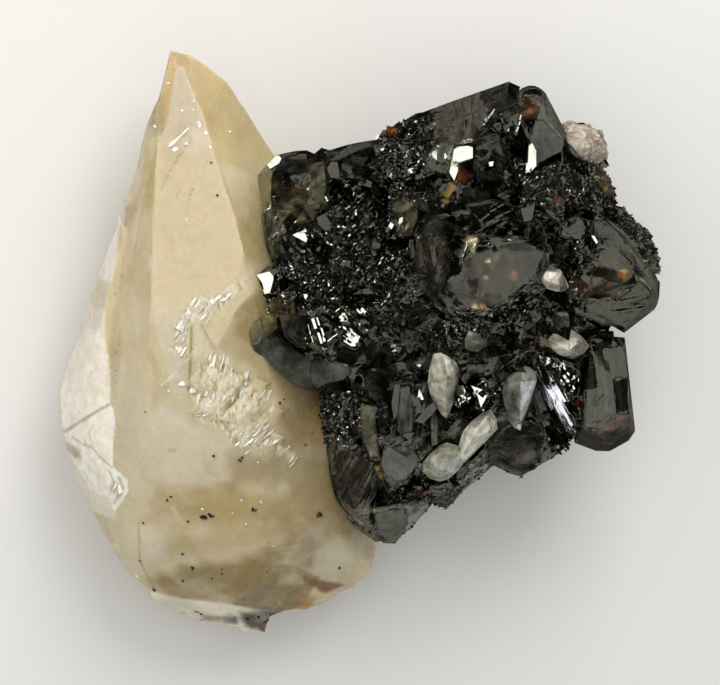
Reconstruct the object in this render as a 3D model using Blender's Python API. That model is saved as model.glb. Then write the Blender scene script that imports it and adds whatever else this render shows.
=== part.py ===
"""Sphalerite with calcite: black crystals grown on a large honey-coloured calcite crystal.

The specimen lies on its back. Lengths are in millimetres until a mesh is made: x to the
right, y along the specimen towards the calcite's tip, z up. The origin is under the
middle of its box, on the surface it rests on.
"""
import math
import random

import bmesh
import bpy
from mathutils import Euler, Vector
from mathutils.bvhtree import BVHTree

MM = 0.001
LENGTH = 72.75
WIDTH = 75.38
REST_HEIGHT = 0.0
FLOOR_BLOCK_DEPTH = 30.0
GAP = 0.3
FLAT_ANGLE = math.radians(1.5)
LONGEST_MITRE = 2.5

# Rise per mm, along x and y, of the faces that all shine at once
GLINT_LEAN = (0.33, -0.33)

# Small crystals: their seed, how far a corner is cut off, and how deep they sit in the surface
CRYSTAL_SEED = 41
TRUNCATION = 0.24
TETRAHEDRON_SPAN = 2.6
PERCH_SHARE = 0.06
SUNK_SHARE = 0.2

# Where the search for the cluster's surface starts: above it, and far outside its middle
SEARCH_HEIGHT = 80.0
SEARCH_REACH = 60.0
CLUSTER_MIDDLE = (12.0, 3.0)

# Massive blocks: rings as shares of height and radius, and how rough their points are
BLOCK_RINGS = ((0.0, 0.62), (0.3, 0.95), (0.62, 1.0), (0.86, 0.84), (1.0, 0.55))
BLOCK_TURN_JITTER = 0.25
BLOCK_REACH = (0.84, 1.04)
BLOCK_HEIGHT_JITTER = (-1.3, 1.0)

CALCITE_TIP = (-22.9, LENGTH / 2, 13.0)
CLEAVAGE_STEP_DEPTH = 2.4

KNOB_SEED = 23
KNOB_MIDDLE = (28.2, 24.8, 19.6)
KNOB_GRAIN_SIZES = (1.9, 2.5)


def lifted(height, lean, outline):
    """Points of a flat face: its height at the middle of the outline, and its rise per mm."""
    middle_x = sum(x for x, y in outline) / len(outline)
    middle_y = sum(y for x, y in outline) / len(outline)
    points = []
    for x, y in outline:
        rise = lean[0] * (x - middle_x) + lean[1] * (y - middle_y)
        points.append((x, y, height + rise))
    return points


def flared(face, depth, flare):
    """The same outline lower down, spread outwards from its middle."""
    count = len(face)
    middle = Vector([sum(point[axis] for point in face) / count for axis in range(3)])
    points = []
    for point in face:
        reach = (Vector(point) - middle) * flare
        points.append((middle.x + reach.x, middle.y + reach.y, point[2] - depth))
    return points


def raised_crystal(height, lean, outline, depth, flare, root):
    """A crystal that stands up to one flat face and narrows to a root inside the cluster."""
    face = lifted(height, lean, outline)
    return face + flared(face, depth, flare) + [root]


def lump(centre, radii, heights, seed, sides=7):
    """A rough rounded block: rings of points between its bottom and its top."""
    draw = random.Random(seed)
    points = []
    for share, spread in BLOCK_RINGS:
        height = heights[0] + share * (heights[1] - heights[0])
        for side in range(sides):
            jitter = draw.uniform(-BLOCK_TURN_JITTER, BLOCK_TURN_JITTER)
            turn = 2 * math.pi * (side + jitter) / sides
            reach = spread * draw.uniform(*BLOCK_REACH)
            x = centre[0] + radii[0] * reach * math.cos(turn)
            y = centre[1] + radii[1] * reach * math.sin(turn)
            points.append((x, y, height + draw.uniform(*BLOCK_HEIGHT_JITTER)))
    return points


def tetrahedral_crystal(centre, size, spin, stretch=1.0, truncation=TRUNCATION):
    """A tetrahedron, as sphalerite crystals grow, with its corners cut off where asked."""
    corners = [Vector(c) for c in ((1, 1, 1), (1, -1, -1), (-1, 1, -1), (-1, -1, 1))]
    turn = Euler(spin).to_matrix()
    points = []
    for corner in corners:
        for other in corners:
            if other is corner:
                continue
            place = corner.lerp(other, truncation) * (size / TETRAHEDRON_SPAN)
            place.z *= stretch
            points.append(Vector(centre) + turn @ place)
            if truncation == 0.0:
                break
    return points


def cleavage_step(centre, reach):
    """A small rhomb of calcite, all of them parallel because the crystal cleaves along them."""
    edges = (Vector((0.62, 0.70, -0.10)), Vector((0.86, -0.36, 0.16)), Vector((-0.12, 0.08, 0.98)))
    points = []
    for signs in ((a, b, c) for a in (-1, 1) for b in (-1, 1) for c in (-1, 1)):
        corner = Vector(centre)
        for sign, edge, length in zip(signs, edges, reach):
            corner += edge * (sign * length / 2)
        points.append(corner)
    return points


def calcite_forms():
    """The large calcite: pointed upper crystal, rounded lower body, pale crystal at its left."""
    front_face = lifted(21.7, (0.383, -0.322), [
        (-23.2, 34.6), (-24.7, 29.4), (-25.3, 22.0), (-25.7, 14.0), (-25.9, 2.8),
        (-20.0, 4.6), (-13.9, 9.6), (-15.6, 15.9), (-17.3, 21.6), (-19.3, 28.0), (-22.0, 34.4)])
    body = front_face + [
        CALCITE_TIP,
        (-24.2, 32.3, 12.6), (-25.8, 26.6, 12.0), (-28.6, 17.9, 11.0), (-30.6, 8.0, 10.4),
        (-21.1, 35.8, 12.8), (-18.9, 34.5, 12.2), (-16.6, 32.8, 12.0), (-14.9, 30.3, 11.6),
        (-13.3, 27.4, 11.2), (-10.7, 23.6, 10.6), (-6.0, 14.0, 9.4), (0.0, 3.0, 9.0),
        (-22.0, 27.0, 6.5), (-24.0, 12.0, 2.0), (-14.0, 14.0, 1.0),
        (-31.8, -3.0, 11.0), (-32.4, -12.0, 11.5), (-32.6, -20.0, 10.5), (-30.6, -26.2, 10.5),
        (-28.6, -29.0, 10.0), (-26.1, -31.6, 9.5), (-21.7, -34.0, 9.0), (-14.8, -35.9, 8.6),
        (-7.3, -32.8, 9.0), (-2.9, -29.7, 9.0), (3.3, -24.6, 9.0), (5.0, -15.0, 9.0),
        (4.0, -4.0, 9.0), (-29.8, 4.0, 17.6), (-30.2, -8.0, 19.2), (-29.4, -18.0, 18.6),
        (-27.6, -26.0, 16.4), (-22.0, -31.2, 14.6), (-14.4, -32.4, 14.0), (-8.6, -29.4, 14.6),
        (-2.0, -24.6, 15.0), (1.5, -14.0, 16.6), (-25.8, -8.0, 24.8), (-24.6, -18.0, 23.4),
        (-20.6, -26.4, 19.8), (-13.0, -27.4, 19.4), (-6.6, -24.4, 19.2), (-19.8, -3.0, 27.4),
        (-18.6, -13.0, 26.6), (-12.0, -18.5, 24.8), (-9.8, -8.0, 26.6), (-10.6, 1.0, 26.4),
        (-3.0, -10.0, 20.6), (-4.4, -17.5, 20.4), (-27.0, 1.0, 0.0), (-8.0, 2.0, 0.0),
        (-27.5, -3.0, 0.0), (-26.0, -22.0, 0.0), (-18.0, -29.0, 0.0), (-6.0, -26.0, 0.0),
        (-1.0, -14.0, 0.0), (-2.0, -3.0, 0.0),
    ]
    pale = [
        (-29.6, 16.4, 11.0), (-32.3, 9.1, 10.4), (-35.4, 0.4, 10.2), (-WIDTH / 2, -6.5, 10.4),
        (-37.3, -10.9, 10.2), (-35.4, -17.1, 10.0), (-32.3, -23.4, 9.8), (-29.4, -27.6, 9.8),
        (-29.2, 14.0, 14.2), (-31.0, 7.0, 15.8), (-32.2, 2.4, 17.0), (-31.8, -4.0, 18.6),
        (-31.2, -12.0, 18.8), (-30.0, -18.6, 17.6), (-30.2, -22.0, 15.4), (-34.8, -3.6, 15.6),
        (-34.6, -12.6, 15.2), (-29.0, 8.0, 5.0), (-31.0, -4.0, 2.2), (-30.0, -18.0, 2.6),
        (-24.0, -6.0, 8.0),
    ]
    crust = [
        (-26.8, -30.7, 9.6), (-26.1, -32.1, 8.8), (-21.7, -34.4, 8.0), (-17.9, -35.4, 7.8),
        (-14.8, -36.2, 7.6), (-11.7, -LENGTH / 2, 7.6), (-11.1, -34.8, 9.0), (-13.0, -33.0, 11.8),
        (-17.5, -32.8, 12.6), (-22.5, -31.6, 12.8), (-25.6, -29.8, 12.6), (-22.0, -31.5, 4.6),
        (-13.0, -33.0, 4.4), (-17.0, -26.0, 6.0),
    ]
    shoulder = [
        (-15.4, -32.7, 12.4), (-12.6, -29.8, 16.6), (-9.4, -27.8, 17.6), (-7.4, -29.0, 15.6),
        (-8.8, -31.0, 13.0), (-11.4, -34.4, 9.6), (-14.0, -30.0, 8.0), (-7.0, -27.0, 8.0),
    ]
    ledges = []
    for x, y, z, long, broad in (
            (-15.4, 7.8, 25.4, 4.4, 1.0), (-16.9, 6.1, 25.5, 4.4, 1.5), (-19.4, 3.6, 25.9, 4.4, 1.9),
            (-21.2, 1.0, 26.0, 4.0, 1.3), (-20.2, -1.6, 26.5, 4.6, 1.4), (-23.2, -4.6, 25.5, 3.0, 1.0),
            (-18.9, -4.6, 26.9, 3.8, 3.6), (-16.0, -5.2, 27.0, 3.6, 3.4), (-18.0, -7.8, 26.6, 4.2, 3.4),
            (-14.6, -8.6, 26.8, 4.6, 2.8), (-12.6, -5.8, 26.6, 3.0, 2.4), (-13.6, -11.2, 26.1, 3.2, 3.2),
            (-10.9, -9.4, 26.0, 3.4, 2.0), (-10.6, -12.6, 25.4, 3.0, 2.2)):
        ledges.append(cleavage_step((x, y, z), (long, broad, CLEAVAGE_STEP_DEPTH)))
    return [body, pale, crust, shoulder] + ledges


def left_crystals():
    """Sphalerite crystals along the cluster's left edge, over the calcite."""
    top_left = [
        (-12.6, 20.9, 20.0), (-12.6, 20.1, 19.6), (-12.1, 17.0, 19.8), (-11.5, 22.3, 20.6),
        (-10.2, 23.5, 20.4), (-8.0, 24.0, 20.0), (-6.5, 24.1, 20.0), (-4.9, 23.4, 20.4),
        (-11.0, 17.2, 25.6), (-10.1, 20.6, 27.0), (-10.6, 21.6, 26.4), (-9.6, 22.8, 26.4),
        (-6.4, 22.9, 27.2), (-9.3, 17.4, 28.4), (-7.4, 19.6, 29.4), (-6.3, 21.6, 28.8),
        (-5.0, 18.0, 14.0),
    ]
    brown_wall = [
        (-12.1, 16.2, 20.6), (-12.1, 12.2, 20.2), (-11.3, 9.7, 21.0), (-10.9, 16.4, 26.4),
        (-10.4, 13.4, 27.2), (-10.2, 10.6, 26.8), (-8.4, 16.4, 28.8), (-5.9, 15.6, 29.8),
        (-4.1, 17.4, 30.0), (-4.1, 20.6, 29.6), (-4.4, 22.6, 28.0), (-6.6, 22.4, 27.4),
        (-3.0, 15.0, 14.0),
    ]
    notch_crystal = [
        (-3.7, 20.9, 29.9), (-3.4, 22.5, 29.0), (-2.5, 22.6, 29.6), (-2.3, 20.5, 30.7),
        (0.0, 24.0, 28.4), (1.6, 23.4, 28.6), (1.0, 20.6, 31.0), (-0.4, 19.2, 31.6),
        (-4.3, 23.9, 21.0), (-3.1, 24.05, 21.4), (-1.6, 24.7, 21.8), (-0.3, 25.0, 21.4),
        (1.3, 25.1, 21.6), (2.6, 25.5, 21.2), (3.2, 24.6, 27.0), (2.6, 21.0, 30.6),
        (0.0, 18.0, 14.0),
    ]
    black_wedge = lifted(32.4, GLINT_LEAN, [(-8.2, 13.4), (-6.6, 14.2), (-6.2, 13.4), (-6.5, 12.5)])
    black_wedge += [
        (-10.3, 12.8, 28.4), (-8.5, 14.8, 29.4), (-7.0, 14.9, 30.0), (-5.6, 13.4, 31.0),
        (-5.8, 11.6, 31.2), (-8.2, 9.9, 29.8), (-10.1, 10.8, 28.2), (-6.0, 12.0, 20.0),
    ]
    tooth = lifted(27.6, GLINT_LEAN, [(-12.7, 8.5), (-11.1, 8.9), (-10.6, 8.2), (-11.1, 6.0),
                                      (-11.6, 5.9), (-12.0, 7.3)])
    tooth += [
        (-13.2, 8.7, 22.0), (-12.9, 9.2, 22.2), (-11.7, 9.7, 23.0), (-12.1, 6.6, 22.6),
        (-9.8, 9.4, 27.4), (-9.8, 6.2, 28.4), (-8.0, 8.0, 20.0),
    ]
    edge_lump = [
        (-12.9, 5.5, 21.0), (-12.8, 3.5, 20.8), (-12.1, 6.3, 23.0), (-12.5, 2.6, 22.0),
        (-11.2, 5.5, 26.8), (-11.0, 3.4, 27.0), (-8.2, 5.3, 29.8), (-7.8, 3.4, 30.2),
        (-5.0, 6.0, 18.0),
    ]
    great_wedge = [
        (-13.4, 1.9, 21.4), (-13.6, 1.0, 21.2), (-12.9, -0.2, 21.0), (-11.9, -1.2, 21.0),
        (-9.8, -2.6, 21.4), (-7.0, -4.8, 22.0), (-5.4, -5.35, 22.6), (-1.5, -4.2, 28.4),
        (-12.3, 0.8, 24.0), (-11.0, 1.0, 25.4), (-9.9, 0.6, 26.6), (-7.2, -1.5, 28.6),
        (-5.5, -2.1, 29.6), (-2.0, -2.7, 31.0), (-1.0, -3.3, 30.6), (-10.3, 2.0, 27.2),
        (-7.6, 2.9, 30.4), (-6.0, 3.1, 31.6), (-4.4, 3.4, 32.6), (-2.6, 2.0, 33.2),
        (0.4, -1.4, 32.4), (-1.0, 0.0, 15.0),
    ]
    small_glints = [
        [(-1.9, 1.0), (-0.7, 1.5), (0.2, 0.8), (-0.4, -0.4), (-0.9, -0.4), (-1.8, 0.2)],
        [(-2.2, 3.3), (-1.2, 3.2), (-0.9, 2.4), (-2.0, 2.3)],
    ]
    forms = [top_left, brown_wall, notch_crystal, black_wedge, tooth, edge_lump, great_wedge]
    for outline in small_glints:
        forms.append(raised_crystal(34.0, GLINT_LEAN, outline, 1.6, 1.5, (-1.0, 1.0, 28.0)))
    return forms


def top_crystals():
    """Sphalerite crystals along the cluster's upper edge."""
    fluted = [
        (8.2, 28.9, 20.6), (10.0, 29.25, 21.4), (12.0, 30.3, 21.4), (13.5, 30.7, 21.6),
        (15.6, 31.3, 22.0), (17.4, 31.9, 22.0), (18.75, 32.65, 21.8), (20.2, 32.0, 21.8),
        (9.3, 26.6, 26.4), (10.3, 25.0, 28.4), (12.8, 24.7, 29.6), (14.4, 25.0, 30.0),
        (15.6, 27.0, 28.8), (17.0, 29.0, 27.6), (18.6, 30.6, 26.2), (19.8, 30.3, 26.6),
        (14.0, 23.0, 12.0),
    ]
    shelf = [
        (3.2, 26.3, 20.6), (4.6, 27.15, 20.6), (6.1, 27.7, 20.6), (7.2, 28.7, 20.8),
        (8.4, 28.9, 20.8), (2.0, 25.5, 21.0), (3.0, 24.0, 27.6), (7.0, 26.0, 27.4),
        (9.0, 25.0, 28.6), (8.6, 21.4, 30.4), (2.5, 20.0, 31.2), (5.0, 18.0, 14.0),
    ]
    crest = [
        (19.4, 31.0, 21.6), (19.8, 29.6, 27.0),
        (20.45, 31.85, 21.4), (21.2, 32.15, 21.4), (22.0, 32.15, 21.2), (22.9, 31.7, 21.0),
        (23.4, 31.2, 20.6), (24.4, 29.2, 20.2), (25.2, 27.5, 20.0), (26.0, 26.2, 20.0),
        (20.6, 30.8, 25.8), (22.4, 30.6, 26.0), (22.9, 28.2, 28.2), (20.0, 28.4, 28.8),
    ]
    crest += lifted(29.4, (-0.02, -0.06), [(22.2, 27.6), (23.1, 27.4), (25.5, 25.0), (25.3, 23.9),
                                          (22.2, 22.3), (21.4, 24.6)])
    crest.append((20.0, 22.0, 14.0))
    forms = [fluted, shelf, crest]
    forms.append(raised_crystal(30.0, (0.12, -0.1), [(9.1, 24.2), (10.5, 25.0), (11.9, 24.6),
                 (11.6, 22.5), (10.9, 21.0), (9.0, 21.4), (8.2, 22.6)], 3.0, 1.2, (10, 20, 20)))
    forms.append(raised_crystal(31.4, GLINT_LEAN, [(12.1, 24.4), (13.9, 24.5), (14.2, 23.7),
                 (14.0, 22.7), (12.3, 20.0), (11.6, 20.6), (11.7, 22.8)], 2.4, 1.2, (13, 21, 22)))
    forms.append(raised_crystal(28.8, (0.18, -0.12), [(17.4, 28.8), (19.7, 29.8), (20.2, 28.5),
                 (19.8, 26.0), (18.8, 24.8), (18.2, 26.4)], 3.0, 1.15, (19, 24, 18)))
    forms.append(raised_crystal(30.2, GLINT_LEAN, [(21.2, 24.6), (21.7, 24.9), (22.1, 23.8),
                 (22.0, 22.0), (21.3, 21.3), (20.8, 21.6)], 2.0, 1.2, (22, 22, 22)))
    forms.append(raised_crystal(29.6, (-0.1, -0.22), [(14.6, 25.2), (17.2, 25.8), (18.1, 23.0),
                 (17.0, 20.4), (15.0, 20.2), (14.4, 22.4)], 3.5, 1.25, (16, 19, 18)))
    return forms


def centre_crystals():
    """The large matt crystal in the middle and the plates around it."""
    great_face = lifted(38.2, (0.02, -0.03), [
        (15.4, 11.5), (18.0, 12.2), (20.0, 12.4), (22.8, 11.2), (22.0, 8.6), (18.0, 5.2),
        (15.3, 4.2), (13.4, 4.4), (11.3, 6.7), (12.8, 10.2)])
    great = great_face + [
        (14.2, 13.8, 36.4), (15.6, 13.9, 36.6), (17.8, 13.2, 37.0), (20.6, 13.6, 36.4),
        (22.4, 13.2, 36.6), (7.2, 12.9, 33.2), (6.8, 9.6, 33.0), (8.6, 4.6, 32.8),
        (11.6, 2.4, 33.0), (16.0, 1.6, 33.6), (19.2, 2.4, 34.2), (23.4, 6.8, 35.0),
        (24.4, 11.2, 34.2), (22.6, 15.4, 32.8), (15.0, 17.0, 31.6), (9.4, 15.8, 31.4),
        (14.0, 8.0, 12.0),
    ]
    feathered = lifted(35.4, (-0.12, -0.3), [(14.0, 16.9), (17.0, 17.5), (19.2, 16.8),
                                             (20.8, 15.2), (19.5, 13.6), (17.8, 13.2),
                                             (15.3, 14.3)])
    feathered += flared(feathered, 4.0, 1.2) + [(17.0, 13.0, 22.0)]
    forms = [great, feathered]
    plates = (
        (36.2, (0.1, -0.3), [(19.7, 13.9), (20.6, 13.0), (22.0, 13.5), (22.3, 14.6),
                             (21.3, 15.3), (20.0, 15.0)], (20.0, 12.0, 26.0)),
        (34.2, (-0.06, -0.1), [(21.7, 15.5), (22.8, 16.4), (24.2, 16.5), (24.4, 15.2),
                               (23.9, 14.7), (22.2, 14.9)], (22.0, 13.0, 24.0)),
        (34.0, (-0.04, -0.08), [(25.2, 13.4), (25.4, 15.0), (26.4, 15.7), (28.7, 15.0),
                                (28.6, 13.0), (27.0, 12.9)], (26.0, 12.0, 22.0)),
        (34.6, (-0.25, 0.05), [(27.2, 12.0), (27.9, 13.4), (28.9, 13.3), (29.5, 12.4),
                               (29.0, 10.8), (27.9, 11.0)], (28.0, 11.0, 24.0)),
        (35.6, (0.02, 0.12), [(19.7, 2.7), (20.5, 4.6), (22.7, 5.8), (23.6, 4.9),
                              (22.2, 3.6), (21.2, 2.0)], (20.0, 4.0, 24.0)),
        (34.4, (0.0, 0.14), [(13.9, 2.4), (14.9, 3.1), (15.9, 2.2), (15.1, 1.5)],
         (15.0, 3.0, 26.0)),
        (33.4, GLINT_LEAN, [(7.0, -0.8), (8.2, 0.4), (9.3, 0.2), (8.9, -1.4), (7.6, -3.0),
                            (6.7, -2.4)], (8.0, -1.0, 24.0)),
        (32.6, (-0.05, 0.12), [(18.0, -0.6), (19.0, -0.1), (21.8, 0.2), (21.9, -1.2),
                               (19.2, -1.5), (18.2, -1.2)], (19.0, 0.0, 22.0)),
        (31.8, (0.02, 0.1), [(19.0, -1.6), (21.6, -1.7), (21.4, -2.8), (19.4, -3.4),
                             (18.2, -2.8)], (19.0, -1.0, 22.0)),
        (32.4, (-0.05, -0.1), [(4.2, 17.3), (5.5, 18.0), (7.3, 17.2), (7.3, 15.4),
                               (6.4, 13.3), (5.0, 13.2), (4.5, 15.0)], (6.0, 14.0, 22.0)),
    )
    for height, lean, outline, root in plates:
        forms.append(raised_crystal(height, lean, outline, 2.6, 1.25, root))
    return forms


def right_crystals():
    """Sphalerite crystals along the cluster's right edge."""
    rounded = [
        (WIDTH / 2, 7.6, 20.0), (37.6, 5.8, 19.6), (37.4, 4.9, 19.6), (37.0, 4.15, 19.8),
        (34.9, 2.65, 20.0), (33.2, 1.25, 20.4), (29.3, 15.1, 29.4), (30.6, 15.3, 28.6),
        (33.0, 13.0, 29.8), (35.2, 10.0, 29.8), (37.0, 7.4, 27.4), (29.7, 12.0, 33.2),
        (31.5, 11.8, 33.2), (34.2, 8.8, 32.8), (34.6, 7.4, 32.4), (36.2, 6.4, 30.0),
        (36.0, 4.8, 28.0), (27.2, 8.8, 34.2), (26.4, 6.3, 34.2), (27.6, 4.4, 33.4),
        (31.0, 3.2, 30.6), (33.2, 2.0, 26.0), (25.0, 8.0, 14.0),
    ]
    upper_shoulder = [
        (30.2, 22.1, 20.0), (30.75, 21.6, 20.0), (31.25, 20.1, 20.0), (31.9, 19.0, 19.8),
        (32.2, 17.4, 19.8), (28.4, 22.4, 22.4), (24.0, 22.4, 26.0), (21.0, 21.0, 28.4),
        (20.4, 17.6, 31.0), (24.6, 17.4, 30.6), (28.8, 16.6, 28.8), (30.6, 19.2, 24.6),
        (22.0, 16.0, 14.0),
    ]
    lower_shoulder = [
        (33.1, 16.3, 19.8), (34.1, 14.9, 19.8), (35.7, 14.2, 19.6), (36.5, 13.0, 19.6),
        (37.3, 11.4, 19.6), (37.5, 10.0, 19.6), (WIDTH / 2, 8.7, 19.8), (32.3, 17.0, 20.4),
        (29.4, 16.6, 27.6), (33.6, 13.0, 27.6), (36.0, 9.6, 26.6), (28.0, 12.0, 14.0),
    ]
    prism = [
        (33.3, 0.7, 20.2), (33.7, -4.0, 20.0), (34.2, -8.0, 19.8), (34.6, -11.0, 19.6),
        (33.8, -12.2, 19.4), (31.4, -13.55, 19.6), (29.7, -13.5, 19.6), (27.0, -12.5, 20.2),
        (29.0, 1.0, 29.4), (31.5, 0.7, 28.0), (33.0, -1.0, 25.4), (28.9, -5.6, 31.0),
        (30.3, -3.8, 30.4), (31.7, -4.6, 29.6), (32.1, -8.0, 28.4), (31.9, -10.7, 27.2),
        (30.3, -11.0, 28.0), (28.3, -10.4, 28.8), (28.4, -6.2, 30.8), (33.7, -10.6, 23.8),
        (30.5, -12.5, 25.0), (26.0, -4.0, 14.0),
    ]
    striped = [
        (21.6, -2.7, 31.8), (22.4, -1.6, 32.4), (24.4, -1.8, 32.6), (27.5, -2.8, 31.4),
        (27.6, -4.2, 30.8), (27.1, -9.6, 27.0), (27.1, -11.6, 24.4), (25.2, -13.1, 22.0),
        (24.0, -13.85, 20.6), (23.4, -12.4, 22.6), (23.1, -9.6, 25.4), (22.0, -5.0, 29.4),
        (25.2, -13.2, 18.4), (24.2, -14.2, 18.0), (23.0, -4.0, 14.0),
    ]
    forms = [rounded, upper_shoulder, lower_shoulder, prism, striped]
    forms.append(raised_crystal(27.4, (-0.25, -0.2), [(33.9, 13.3), (34.3, 14.0), (35.6, 14.1),
                 (36.3, 13.2), (36.2, 11.9), (34.5, 11.9)], 3.0, 1.05, (31, 11, 18)))
    forms.append(raised_crystal(28.2, (-0.05, -0.3), [(28.8, 16.5), (29.8, 17.0), (32.2, 17.0),
                 (32.9, 16.6), (32.9, 16.0), (31.0, 15.5), (29.5, 15.4)], 3.0, 1.05, (29, 14, 18)))
    forms.append(raised_crystal(27.0, (-0.3, -0.1), [(31.2, 0.2), (32.2, 0.4), (33.2, -1.4),
                 (33.5, -4.1), (31.9, -4.5), (30.6, -2.0)], 3.0, 1.0, (30, -2, 18)))
    return forms


def bottom_crystals():
    """Sphalerite crystals along the cluster's lower edge."""
    dark_foot = [
        (26.5, -12.7, 17.0), (24.2, -14.4, 17.0), (22.0, -15.6, 17.0), (20.35, -16.7, 16.8),
        (19.0, -16.4, 16.8), (16.8, -15.2, 17.0), (17.0, -12.2, 25.6), (18.5, -10.6, 28.0),
        (21.5, -9.6, 28.4), (23.4, -11.4, 25.6), (23.6, -13.7, 21.6), (20.5, -14.9, 21.8),
        (19.0, -5.0, 12.0),
    ]
    strip_foot = [
        (16.9, -15.3, 17.0), (16.1, -15.9, 17.0), (15.0, -17.0, 17.0), (13.3, -18.2, 17.0),
        (12.6, -18.9, 17.0), (12.2, -16.2, 22.4), (14.0, -14.8, 24.0), (16.6, -12.6, 25.4),
        (18.0, -11.0, 26.0), (12.0, -8.0, 12.0),
    ]
    striated_foot = [
        (-4.8, -7.0, 23.0), (-3.9, -9.6, 22.6), (-3.4, -12.5, 22.4), (-3.7, -15.6, 21.6),
        (-3.45, -17.4, 20.8), (-2.9, -19.4, 19.6), (-1.3, -21.4, 18.4), (-0.6, -23.0, 17.4),
        (1.2, -24.1, 16.8), (2.1, -24.9, 16.4), (2.7, -24.8, 16.4), (-2.4, -13.6, 27.6),
        (0.2, -13.0, 29.4), (1.8, -14.6, 29.2), (1.4, -19.0, 26.4), (-0.6, -20.4, 24.2),
        (1.2, -22.6, 21.6), (3.0, -10.0, 12.0),
    ]
    upper_foot = [
        (-5.0, -6.4, 23.6), (-4.4, -7.8, 23.6), (-3.2, -5.8, 28.6), (-0.2, -6.6, 30.4),
        (0.4, -10.8, 30.2), (-0.6, -12.8, 29.0), (-3.0, -12.0, 27.2), (2.0, -8.0, 14.0),
    ]
    grey_foot = [
        (2.6, -24.85, 16.4), (4.1, -24.8, 16.2), (5.9, -23.8, 16.4), (6.4, -22.7, 16.8),
        (8.3, -21.3, 17.0), (9.3, -20.1, 17.4), (1.8, -20.6, 25.4), (5.5, -20.0, 26.0),
        (8.6, -19.3, 25.0), (5.6, -22.5, 22.2), (2.6, -23.2, 21.6), (5.0, -12.0, 12.0),
    ]
    corner_foot = [
        (9.3, -20.15, 17.4), (11.0, -20.7, 17.0), (12.3, -19.5, 17.2), (12.7, -18.8, 17.4),
        (8.8, -18.5, 25.0), (10.2, -18.6, 25.2), (12.6, -17.8, 23.6), (11.0, -20.1, 20.6),
        (9.5, -19.9, 21.6), (9.0, -12.0, 12.0),
    ]
    forms = [dark_foot, strip_foot, striated_foot, upper_foot, grey_foot, corner_foot]
    plates = (
        (30.4, (0.02, 0.05), [(3.2, -12.9), (6.8, -12.8), (7.3, -14.5), (6.6, -16.2),
                              (3.9, -18.1), (2.9, -16.0), (2.9, -14.3)], (5.0, -12.0, 20.0)),
        (33.2, (0.2, 0.24), [(4.6, -4.8), (6.8, -4.8), (7.0, -8.0), (5.4, -11.3),
                             (4.9, -10.4), (4.5, -7.5)], (6.0, -7.0, 20.0)),
        (32.2, (-0.12, 0.2), [(6.9, -5.2), (8.5, -4.9), (9.4, -8.6), (7.2, -10.4),
                              (5.8, -11.4)], (8.0, -6.0, 20.0)),
        (31.4, (0.1, 0.12), [(0.3, -7.4), (1.9, -8.0), (2.1, -10.5), (2.6, -14.0),
                             (1.5, -14.0), (0.3, -11.0)], (2.0, -9.0, 20.0)),
        (31.6, (-0.1, 0.12), [(2.4, -8.5), (3.6, -8.0), (4.1, -10.0), (3.4, -11.6),
                              (2.6, -11.0)], (3.4, -9.0, 20.0)),
        (33.0, GLINT_LEAN, [(12.2, -5.2), (13.2, -5.3), (13.3, -6.0), (12.6, -7.7),
                            (12.1, -6.6)], (13.0, -6.0, 24.0)),
        (33.0, GLINT_LEAN, [(14.2, -5.2), (15.2, -5.6), (16.2, -6.2), (15.3, -8.0),
                            (14.8, -6.6)], (15.0, -6.0, 24.0)),
        (29.4, (0.14, 0.26), [(21.0, -8.2), (22.1, -5.6), (22.8, -8.0), (23.2, -10.8)],
         (22.0, -7.0, 20.0)),
    )
    for height, lean, outline, root in plates:
        forms.append(raised_crystal(height, lean, outline, 2.6, 1.2, root))
    return forms


def cluster_blocks():
    """The massive sphalerite that every crystal grows from."""
    return [
        lump((12.5, 5.0), (19.0, 15.5), (-3.0, 33.0), 3),
        lump((-2.0, 11.5), (9.6, 10.4), (6.0, 30.4), 5),
        lump((13.0, 20.5), (12.8, 9.4), (5.0, 29.0), 7),
        lump((27.5, 9.0), (8.6, 10.0), (6.0, 30.4), 9),
        lump((4.5, -8.5), (8.4, 11.0), (6.0, 30.4), 11),
        lump((19.5, -5.0), (11.0, 7.4), (5.0, 30.0), 13),
        lump((-2.0, 2.0), (8.0, 7.0), (10.0, 31.0), 15),
        [(24.5, -11.0, 10.0), (31.0, -11.0, 12.0), (32.0, 1.5, 12.0), (24.0, 2.0, 8.0),
         (25.5, -11.6, 19.0), (31.5, -10.0, 20.0), (32.0, 0.0, 22.0), (27.6, -2.0, 29.4),
         (27.4, -9.0, 26.0), (25.0, -2.0, 29.0)],
        [(9.0, -18.2, 14.0), (13.6, -16.4, 14.0), (15.4, -10.0, 12.0), (8.0, -8.0, 8.0),
         (9.4, -17.6, 22.0), (13.4, -15.6, 22.6), (15.6, -11.0, 26.6), (9.0, -9.0, 29.6),
         (13.0, -8.6, 30.4), (8.6, -14.0, 27.0)],
        [(24.6, 27.2, 17.6), (27.8, 26.9, 15.4), (30.0, 25.4, 14.6), (30.6, 23.2, 14.6),
         (28.6, 21.6, 19.8), (25.4, 22.0, 25.2), (25.0, 25.6, 24.4), (24.0, 19.0, 6.0),
         (22.0, 25.0, 9.0), (27.0, 25.6, 10.4), (29.4, 22.8, 10.0)],
    ]


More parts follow.
